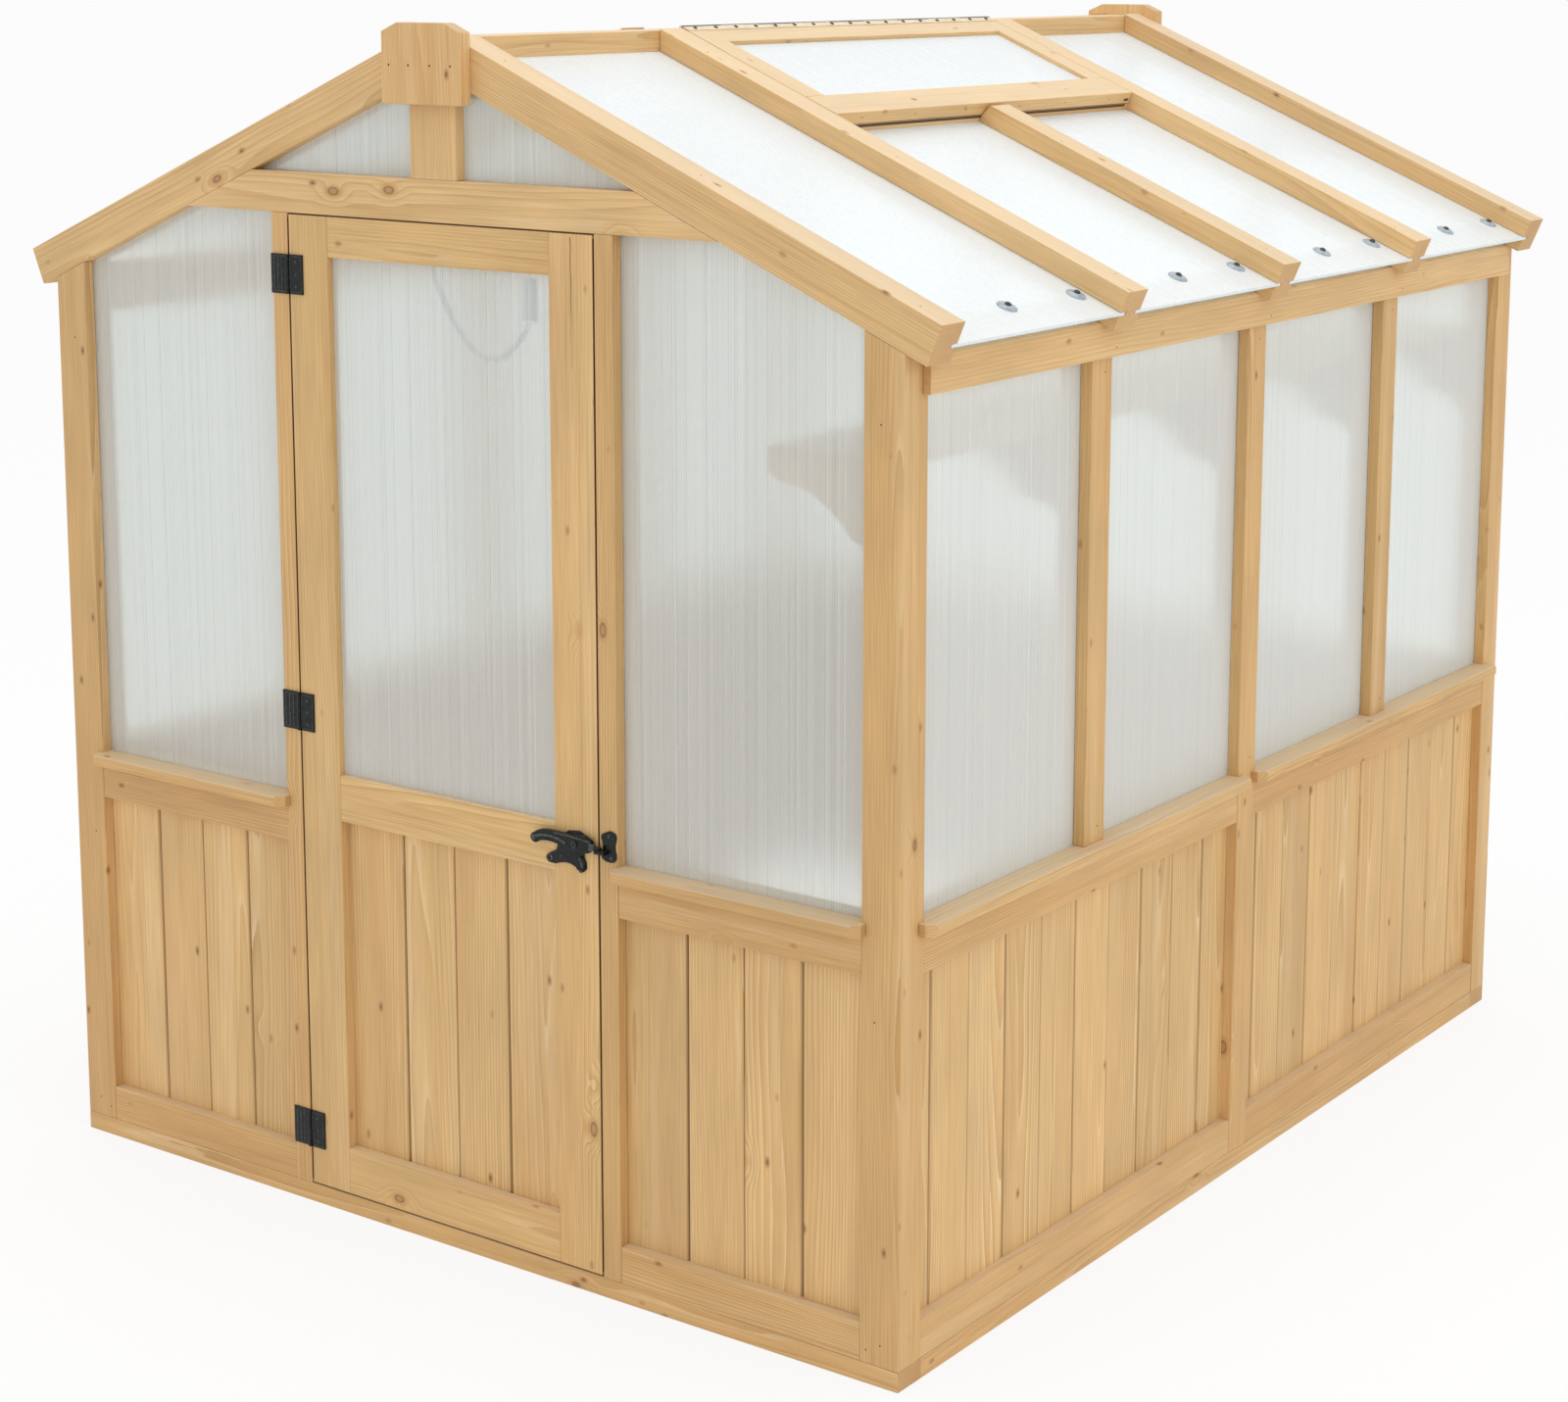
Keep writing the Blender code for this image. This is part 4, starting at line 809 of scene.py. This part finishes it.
for bay in range(1, 5):
    start = (bay - 1) * rafterPitch - innerY
    planes = between("y", start - grooveDepth, start + rafterPitch - timberFace + grooveDepth)
    for side, sign in reversed(sideSigns.items()):
        fluted(f"window_pane_{side}_bay_{bay}", "window_pane_" + side, planes, "wall_pane", alongY, alongX,
               look="lit_side_pane")
        name = f"roof_pane_{side}_{bay}"
        fluted(name + "_sheet", name, (), "roof_pane", alongY, toRight(outOfRoof, sign))
for name in ("window_pane_front_left", "window_pane_front_right", "gable_pane_front"):
    fluted(name + "_sheet", name)
backBays = {"left": gableBays["left"], "middle": (-doorHalf, doorHalf), "right": gableBays["right"]}
for place, (low, high) in backBays.items():
    planes = between("x", low - grooveDepth, high + grooveDepth)
    fluted("window_pane_back_" + place, "window_pane_back",
           planes + between("z", None, collarLow.z + grooveDepth))
fluted("gable_pane_back", "window_pane_back", between("z", collarHigh.z - grooveDepth, None))
fluted("door_pane_sheet", "door_pane", body="door")
fluted("vent_pane_sheet", "vent_pane", (), "roof_pane", alongY, outOfRoof, "vent")
print("panes built")


# Fittings

def dressNode(nodeName, metal):
    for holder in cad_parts[nodeName].material_slots:
        holder.material = metals[metal]


# the default paler iron paints highlights on the trims
def addFitting(name, body, solids, metal="paintedHighlightIron", slot="black_iron", replaced=(), sharp=50):
    shape = Shape()
    for solid in solids:
        shape.take(solid)
    shape.build(name, body, metals[metal], slot, replaced, sharp)


def ringAt(x, z, radius, level, steps=20):
    # points round a centre, standing at one y
    turns = [2 * math.pi * step / steps for step in range(steps)]
    return [(x + radius * math.cos(turn), level, z + radius * math.sin(turn)) for turn in turns]


screwHead = ((0, 0), (1, 0), (1, 0.25), (0.82, 0.48), (0.5, 0.62), (0.22, 0.66), (0.16, 0.45), (0, 0.42))


def screw(centre, direction, radius):
    return turned([(reach * radius, height * radius) for reach, height in screwHead], centre, direction, 14)


def nail(centre, direction, radius=0.0016):
    # sunk nail: a shallow rim round a dark dimple
    profile = [(radius, 0), (radius, 0.00012), (radius * 0.6, 0.00016), (0, 0.00004)]
    return turned(profile, centre, direction, 10)


# Butt hinges: ribbed leaf on the post, bordered leaf on the door, and the door leaf's screws
hinge = {
    "proud": 0.0028, "knuckle": 0.007, "rib": 0.0011, "ribs": (0.30, 0.55, 0.80), "ribClear": 0.006,
    "border": 0.0009, "pinSide": 0.0022, "outerSide": 0.0033, "endClear": 0.004,
    "screw": 0.0026, "screwLevels": (-0.023, 0.0, 0.023),
}
for number in (1, 2, 3):
    for half, body, sign in (("fixed", "house", -1), ("moving", "door", 1)):
        node = f"door_hinge_{half}_{number}"
        dressNode(node, "blackIron")
        low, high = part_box(node)
        face, middle, clear = -halfDepth - hinge["proud"], (low.z + high.z) / 2, hinge["ribClear"]
        outer, inner = (low.x, high.x) if half == "fixed" else (high.x, low.x)
        inner += sign * hinge["knuckle"]
        first, last = inner + sign * hinge["pinSide"], outer - sign * hinge["outerSide"]
        foot, head = low.z + hinge["endClear"], high.z - hinge["endClear"]
        border = [(first, face, foot), (last, face, foot), (last, face, head), (first, face, head)]
        trim = [wire(border, hinge["border"], closed=True)]
        if half == "fixed":
            for x in [inner + (outer - inner) * share for share in hinge["ribs"]]:
                trim.append(wire([(x, face, low.z + clear), (x, face, high.z - clear)], hinge["rib"]))
        else:
            trim += [screw(((inner + outer) / 2, face, middle + offset), -alongY, hinge["screw"])
                     for offset in hinge["screwLevels"]]
        addFitting(node + "_trim", body, trim)

# Latch: back plate, lever and striker with eased edges, then their ribs, collars and screws
latch = {                               # x and height of what is fixed; the lever's are from its pivot
    "ease": 0.0009, "pivot": (0.318, 0.838), "plateProud": 0.0033, "strikerProud": 0.0028,
    "screw": 0.0034, "rivet": 0.0021, "leverScrew": 0.0015,
    "plateScrews": {(0.3237, 0.7870): "screw", (0.2500, 0.7935): "rivet", (0.2790, 0.8080): "rivet",
                    (0.3400, 0.8420): "rivet"},
    "strikerScrews": ((0.3880, 0.8620), (0.3930, 0.8225)),
    "leverScrews": ((-0.044, 0.0120), (-0.025, 0.0118)),
    "eye": (0.2535, 0.8010), "ring": 0.0052, "eyeWire": 0.0011, "rimWire": 0.0007, "rimSunk": 0.0002,
    "ball": (-0.0955, -0.0030), "ballRadius": 0.0058, "ballSunk": 0.0020, "legSunk": 0.008,
    "collar": ((0.0042, 0), (0.0076, 0.0010), (0.0080, 0.0030), (0.0060, 0.0062), (0.0040, 0.0090)),
    "collarStart": 0.0344, "collarSunk": 0.004,
}
leverLines = {                          # raised lines of the lever and its leg: wire radius, and points
    "ridge": (0.0026, ((-0.096, -0.0035), (-0.088, 0.0012), (-0.074, 0.0052), (-0.055, 0.0062),
                       (-0.036, 0.0042), (-0.020, -0.0015))),
    "flange": (0.0017, ((-0.046, 0.0135), (-0.014, 0.0130), (0.012, 0.0115), (0.034, 0.0095),
                        (0.0345, -0.0055))),
    "leg": (0.0024, ((0.005, -0.026), (0.0105, -0.035), (0.0110, -0.042))),
}
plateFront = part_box("latch_body")[0].y
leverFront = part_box("latch_lever")[0].y


def byPivot(u, v, sunk=0.0):
    return Vector((latch["pivot"][0] + u, leverFront + sunk, latch["pivot"][1] + v))


def raisedLine(name, sunk=0.0):
    radius, points = leverLines[name]
    return wire([byPivot(*point, sunk) for point in points], radius, sides=12)


for name, body in (("latch_body", "door"), ("latch_lever", "latch"), ("latch_striker", "house")):
    solid = cutOut(name)
    ease(solid, latch["ease"])
    addFitting(name + "_iron", body, [solid], "blackIron", replaced=(name,), sharp=40)

face = -halfDepth - latch["plateProud"]
addFitting("latch_body_trim", "door", [
    *[screw((x, face, z), -alongY, latch[kind]) for (x, z), kind in latch["plateScrews"].items()],
    wire(ringAt(*latch["eye"], latch["ring"], face), latch["eyeWire"], closed=True)])
radius = latch["ballRadius"]
turns = [math.radians(18 * step) for step in range(-4, 5)]
ball = [(0, -radius), *[(radius * math.cos(turn), radius * math.sin(turn)) for turn in turns], (0, radius)]
addFitting("latch_lever_trim", "latch", [
    raisedLine("ridge"), raisedLine("flange"),
    turned(ball, byPivot(*latch["ball"], latch["ballSunk"]), -alongX, 18),
    *[screw(byPivot(*place), -alongY, latch["leverScrew"]) for place in latch["leverScrews"]],
    turned(latch["collar"], byPivot(latch["collarStart"], 0, latch["collarSunk"]), alongX, 18)])
rim = ringAt(*latch["pivot"], latch["ring"], plateFront + latch["rimSunk"], 24)     # of the pivot's head
addFitting("latch_leg_trim", "door", [
    raisedLine("leg", latch["legSunk"]), wire(rim, latch["rimWire"], closed=True)])
addFitting("latch_striker_trim", "house", [
    screw((x, -halfDepth - latch["strikerProud"], z), -alongY, latch["screw"])
    for x, z in latch["strikerScrews"]])

# Strip hinge of the vent: a row of screws along its leaf, and dark sleeves round the knuckles, their dark
# line partly painted shade of the hinge's gap
strip = {"pinX": 0.040, "pinBelow": 0.0036, "screws": 17, "pitch": 0.065, "radius": 0.0042,
         "rise": 0.0014, "fromPin": 0.0120, "knuckles": 9, "sleeve": 0.0038, "gap": 0.0006}
for half in ("fixed", "moving"):
    dressNode("vent_hinge_" + half, "hingeBrass")
pin = Vector((strip["pinX"], 0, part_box("vent_hinge_fixed")[1].z - strip["pinBelow"]))
run = pin.dot(downSlope) - crownStart + strip["fromPin"]
addFitting("vent_hinge_screws", "vent", [
    screw(onSlope(run, strip["rise"], (count - (strip["screws"] - 1) / 2) * strip["pitch"]), outOfRoof,
          strip["radius"]) for count in range(strip["screws"])], "screwSteelAndGapShade", "pale_steel")
knuckle = (ventHigh.y - ventLow.y) / strip["knuckles"]
sleeve = [(strip["sleeve"], strip["gap"]), (strip["sleeve"], knuckle - strip["gap"])]
for first, body in enumerate(("house", "vent")):
    addFitting("vent_hinge_sleeves_" + body, body, [
        turned(sleeve, pin + alongY * (ventLow.y + count * knuckle), alongY, 18)
        for count in range(first, strip["knuckles"], 2)], "screwSteelAndGapShade", "pale_steel")

# Roof sheets: a domed washer and screw at each fixing, and the open mouths of the flutes at the eaves
washer = {
    "reach": 1.0, "spread": 0.225, "sink": 0.040,
    "dome": ((0, 0), (0.0185, 0), (0.0188, 0.0012), (0.0172, 0.0030), (0.0135, 0.0046),
             (0.0095, 0.0054), (0.0070, 0.0050), (0, 0.0048)),
    "cap": ((0, 0.0040), (0.0058, 0.0042), (0.0058, 0.0070), (0.0044, 0.0086), (0.0018, 0.0090),
            (0.0014, 0.0074), (0, 0.0072)),
}
mouth = {"start": 0.004, "half": 0.0021, "inset": 0.0012}
for label, side in sideSigns.items():
    outward, slope, half = toRight(outOfRoof, side), toRight(downSlope, side), mouth["half"]
    run = washer["reach"] / math.cos(roofPitch)
    middles = [(bay + 0.5) * rafterPitch - gableY for bay in range(4)]
    places = [onSlope(run, -washer["sink"], y + offset * washer["spread"], side)
              for y in middles for offset in (-1, 0, 1)]
    addFitting("roof_washers_" + label, "house", [turned(washer["dome"], place, outward, 24)
                                                  for place in places], "washerGrey", "roof_pane")
    addFitting("roof_screws_" + label, "house", [turned(washer["cap"], place, outward, 12)
                                                 for place in places], "screwSteelAndGapShade", "pale_steel")
    mouths = []
    for bay in range(1, 5):
        corners = [vertex.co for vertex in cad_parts[f"roof_pane_{label}_{bay}"].data.vertices]
        reach = max(corner.dot(slope) for corner in corners)
        end = [corner for corner in corners if corner.dot(slope) > reach - hair / 2]
        levels, widths = [corner.dot(outward) for corner in end], [corner.y for corner in end]
        foot, head = min(levels) + mouth["inset"], max(levels) - mouth["inset"]
        for count in range(int((max(widths) - min(widths)) / flute["pitch"])):
            y = min(widths) + mouth["start"] + count * flute["pitch"]
            ring = [slope * (reach - hair) + outward * level + alongY * (y + shift)
                    for level, shift in ((foot, -half), (foot, half), (head, half), (head, -half))]
            mouths.append(slab(ring, slope * 2 * hair))
    addFitting("roof_flute_mouths_" + label, "house", mouths, "fluteMouth", "roof_pane", sharp=None)

# Sunk nails
nailing = {
    "block": 0.0021, "blockX": (-0.0745, -0.0288, 0.0218, 0.0700), "blockRise": 0.068,
    "corners": ((0.963, 0.075), (0.934, 0.060), (0.955, 1.640), (0.948, 0.640)),
    "plateProud": 0.016, "plateShift": 0.021, "plateRise": 0.016, "mullionShift": 0.010,
    "overSill": 0.030, "underPlate": 0.028, "rafterRuns": (0.16, 0.62, 1.10), "sway": 0.02,
    "ventY": (-0.46, -0.28, -0.10, 0.10, 0.28, 0.46), "ventBelow": 0.012,
}
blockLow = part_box("ridge_block_front")[0]
z = blockLow.z + nailing["blockRise"]
nails = [nail((-end * x, -end * blockLow.y, z), alongY * end, nailing["block"])
         for x in nailing["blockX"] for end in (-1, 1)]
for side in (-1, 1):
    nails += [nail((side * x, end * halfDepth, z), alongY * end)
              for end in (-1, 1) for x, z in nailing["corners"]]
    for y in (-rafterPitch, 0, rafterPitch):
        places = [(nailing["plateProud"], y + nailing["plateShift"], plateLevel + nailing["plateRise"]),
                  (0, y + nailing["mullionShift"], sillTop + nailing["overSill"]),
                  (0, y + nailing["mullionShift"], plateLevel - nailing["underPlate"])]
        nails += [nail((side * (halfWidth + proud), *place), alongX * side) for proud, *place in places]
    for count in range(5):
        for run in nailing["rafterRuns"]:
            if side < 0 or count != 2 or run > vent["reach"]:
                y = count * rafterPitch - gableY + chance.uniform(-nailing["sway"], nailing["sway"])
                nails.append(nail(onSlope(run, 0, y, side), toRight(outOfRoof, side)))
addFitting("sunk_nails", "house", nails, "nailAndShadeBrown", "pale_steel")

# Nails in the front of the vent's bottom rail, and dark patches at its ends: painted shade of end notches
notchShade = {"reach": Vector((0.009, 0.0002, 0.0028)), "below": 0.0165, "fromEnd": 0.016}
run = vent["reach"] / math.cos(roofPitch)
front = [nail(onSlope(run, -nailing["ventBelow"], y), downSlope) for y in nailing["ventY"]]
facing = downSlope.to_track_quat("Y", "Z").to_matrix().to_4x4()
for y in (ventLow.y + notchShade["fromEnd"], ventHigh.y - notchShade["fromEnd"]):
    solid = bar(-notchShade["reach"], notchShade["reach"])
    solid.transform(Matrix.Translation(onSlope(run, -notchShade["below"], y)) @ facing)
    front.append(solid)
addFitting("vent_nails_and_notch_shade", "vent", front, "nailAndShadeBrown", "pale_steel")

# Dark strips in the gaps over the door, at its hinge side and along its free edge: painted shade in the gaps
doorGapShade = {"sunk": 0.004, "edgeSunk": 0.0012, "wide": 0.014, "thick": 0.0006, "clearOfEnds": 0.006}
low = Vector((0, doorLow.y + doorGapShade["edgeSunk"], doorLow.z + doorGapShade["clearOfEnds"]))
high = Vector((0, low.y + doorGapShade["wide"], doorHigh.z - doorGapShade["clearOfEnds"]))
addFitting("door_head_shade_strip", "house", [
    bar((-doorHalf + hair, doorLow.y + doorGapShade["sunk"], doorHigh.z + hair),
        (doorHalf - hair, doorHigh.y - doorGapShade["sunk"], collarLow.z - hair)),
    bar(low - alongX * (doorHalf + hair), high - alongX * (doorHalf - doorGapShade["thick"]))],
    "gapShadeBrown", sharp=None)
addFitting("door_edge_shade_strip", "door", [
    bar(low + alongX * (doorHigh.x - hair), high + alongX * (doorHigh.x + doorGapShade["thick"]))],
    "gapShadeBrown", sharp=None)

# Dark strip along the header, below the vent's bottom rail: painted shadow of the gap under the rail
ventGapShade = {"top": -0.0268, "tall": 0.0050, "proud": 0.0010, "reachY": 0.536, "clear": 0.001, "header": 0.2}
corners = [vertex.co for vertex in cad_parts["rafter_right_3"].data.vertices]
run = max(corner.dot(downSlope) for corner in corners if abs(corner.y) > ventGapShade["header"]) - crownStart - hair
start, end, top, foot = faceReach + ventGapShade["clear"], ventGapShade["reachY"], ventGapShade["top"], ventGapShade["top"] - ventGapShade["tall"]
addFitting("vent_gap_shade", "house", [
    slab([onSlope(run, top, low), onSlope(run, top, high), onSlope(run, foot, high),
          onSlope(run, foot, low)], downSlope * ventGapShade["proud"])
    for low, high in ((-end, -start), (start, end))], "nailAndShadeBrown", sharp=None)

# A drying split runs down the door's lock stile from its top, drawn as a thin dark strip on the face: painted
# shade inside the split
split = {"clear": 0.006, "foot": 0.232, "steps": 12, "x": 0.3120, "drift": 0.0012, "sway": 0.0006,
         "beat": 1.9, "half": 0.0008, "widest": 1.08}
rims = []
for step in range(split["steps"] + 1):
    share = step / split["steps"]
    z = doorHigh.z - split["clear"] - (split["foot"] - split["clear"]) * share
    x = split["x"] + split["drift"] * share + split["sway"] * math.sin(split["beat"] * step)
    half = split["half"] * (split["widest"] - share)
    rims.append([(x - half, -halfDepth + hair, z), (x + half, -halfDepth + hair, z)])
addFitting("door_stile_split", "door", [
    slab([upper[0], lower[0], lower[1], upper[1]], -alongY * (2 * hair))
    for upper, lower in zip(rims, rims[1:])], "nailAndShadeBrown", "door_timber", sharp=None)

# Chain and spring behind the door's pane, hung from two screw eyes in the top rail
chain = {"level": -1.158, "lowest": (0.085, 1.672), "steepness": 8.16, "ends": (-0.049, 0.176),
         "wire": 0.0014, "linkLong": 0.0078, "linkWide": 0.0046, "pitch": 0.0118, "steps": 600}
coil = {"x": 0.178, "foot": 1.746, "head": 1.822, "radius": 0.0130, "wire": 0.0016, "turns": 14,
        "steps": 12}
eye = {"radius": 0.0055, "wire": 0.0012, "overGlass": 0.014, "hook": 0.0010, "hookEnd": 0.003,
       "shank": 0.001}


def chainPoint(x):
    lowX, lowZ = chain["lowest"]
    return Vector((x, chain["level"], lowZ + chain["steepness"] * (x - lowX) ** 2))


def linkAt(place, heading, twist):
    # one oval link: two straight sides and round ends
    long, wide = chain["linkLong"] - chain["linkWide"], chain["linkWide"]
    outline = [(long + wide * math.cos(turn), wide * math.sin(turn))
               for turn in (math.radians(-90 + 45 * step) for step in range(5))]
    outline += [(-u, -v) for u, v in outline]
    sideways = heading.cross(alongY).normalized() if twist else alongY
    return wire([place + heading * u + sideways * v for u, v in outline], chain["wire"], closed=True)


first, end = chain["ends"]
links, travelled, last = [], 0.0, chainPoint(first)
for step in range(1, chain["steps"] + 1):
    here = chainPoint(first + (end - first) * step / chain["steps"])
    travelled += (here - last).length
    if travelled >= len(links) * chain["pitch"]:
        links.append(linkAt(here, (here - last).normalized(), len(links) % 2))
    last = here
level, radius, steps = chain["level"], coil["radius"], coil["turns"] * coil["steps"]
turns = [2 * math.pi * step / coil["steps"] for step in range(steps + 1)]
links.append(wire([(coil["x"] + radius * math.cos(turn), level + radius * math.sin(turn),
                    coil["foot"] + (coil["head"] - coil["foot"]) * step / steps)
                   for step, turn in enumerate(turns)], coil["wire"]))
eyeZ, radius = doorHigh.z - door["topRail"] + eye["overGlass"], eye["radius"]
for x, foot in ((first, chainPoint(first).z), (coil["x"], coil["head"])):
    ring = [(x, level + point[2], eyeZ + point[0]) for point in ringAt(0, 0, radius, 0, 16)]
    links += [
        wire(ring, eye["wire"], closed=True),
        wire([(x, level - radius, eyeZ), (x, doorHigh.y - eye["shank"], eyeZ)], eye["wire"]),
        wire([(x, level, foot - eye["hookEnd"]), (x, level, eyeZ - radius)], eye["hook"])]
addFitting("door_chain", "door", links, "springZinc", "pale_steel")
print("fittings built")


# Studio

stageLook = {"floorReach": 300, "floorColour": (0.96, 0.96, 0.96), "floorRoughness": 0.9, "ownWhite": 0.82,
             "ambient": 0.85, "aim": (0, 0, 1.1)}


def seenDirectly(tree):
    # 1 for rays that should meet the white background
    path = addNode(tree, "LightPath")
    shown = sums(tree, "MAXIMUM", path.outputs["Is Camera Ray"], path.outputs["Is Glossy Ray"])
    return sums(tree, "MAXIMUM", shown, path.outputs["Is Transmission Ray"])


solid = bmesh.new()
bmesh.ops.create_grid(solid, x_segments=2, y_segments=2, size=stageLook["floorReach"])
mesh = bpy.data.meshes.new("floor")
solid.to_mesh(mesh)
solid.free()
floorSkin, tree, shader = newSkin("floor_skin")
feed(tree, shader, {"Base Color": (*stageLook["floorColour"], 1), "Roughness": stageLook["floorRoughness"]})
glow = addNode(tree, "Emission", {"Color": (1, 1, 1, 1), "Strength": 1.0})
mixed = addNode(tree, "MixShader", {
    0: sums(tree, "MULTIPLY", seenDirectly(tree), stageLook["ownWhite"]), 1: shader.outputs[0],
    2: glow.outputs[0]})
tree.links.new(mixed.outputs[0], tree.nodes["Material Output"].inputs["Surface"])
mesh.materials.append(floorSkin)
floor = stand("floor", mesh)

world = bpy.data.worlds.new("studio")
world.use_nodes = True
bpy.context.scene.world = world
tree = world.node_tree
plain = tree.nodes["Background"]
feed(tree, plain, {"Color": (1, 1, 1, 1), "Strength": stageLook["ambient"]})
white = addNode(tree, "Background", {"Color": (1, 1, 1, 1), "Strength": 1.0})
mixed = addNode(tree, "MixShader", {0: seenDirectly(tree), 1: plain.outputs[0], 2: white.outputs[0]})
tree.links.new(mixed.outputs[0], tree.nodes["World Output"].inputs["Surface"])

lamps = {                               # place, size and power of each soft lamp, all aimed at the house
    "overhead": {"place": (0.5, -0.5, 8.3), "size": 5.0, "power": 145},
    "right": {"place": (8.0, -1.5, 4.0), "size": 4.0, "power": 55},
}
for name, look in lamps.items():
    lamp = bpy.data.lights.new(name + "_lamp", "AREA")
    lamp.shape = "DISK"
    lamp.size = look["size"]
    lamp.energy = look["power"]
    holder = stand(name + "_lamp", lamp)
    holder.location = look["place"]
    toHouse = Vector(stageLook["aim"]) - holder.location
    holder.rotation_euler = toHouse.to_track_quat("-Z", "Y").to_euler()

cameraLook = {                          # solved from the photograph's timbers, for a frame of 1600 x 1431
    "frameWidth": 1600, "lensPixels": 3107.5, "shiftPixels": -240, "place": (3.6546, -5.1846, 2.3817),
    "yaw": 36.021, "pitch": 9.547, "roll": 0.02,
}
bpy.context.scene.view_settings.view_transform = "Standard"
lens = bpy.data.cameras.new("camera")
lens.sensor_width = 36
lens.lens = cameraLook["lensPixels"] / cameraLook["frameWidth"] * lens.sensor_width
lens.shift_y = cameraLook["shiftPixels"] / cameraLook["frameWidth"]
lens.clip_end = 1000
camera = stand("camera", lens)
camera.matrix_world = (
    Matrix.Translation(cameraLook["place"])
    @ Matrix.Rotation(math.radians(cameraLook["yaw"]), 4, "Z")
    @ Matrix.Rotation(math.radians(90 - cameraLook["pitch"]), 4, "X")
    @ Matrix.Rotation(math.radians(cameraLook["roll"]), 4, "Z"))
bpy.context.scene.camera = camera
print("studio ready")
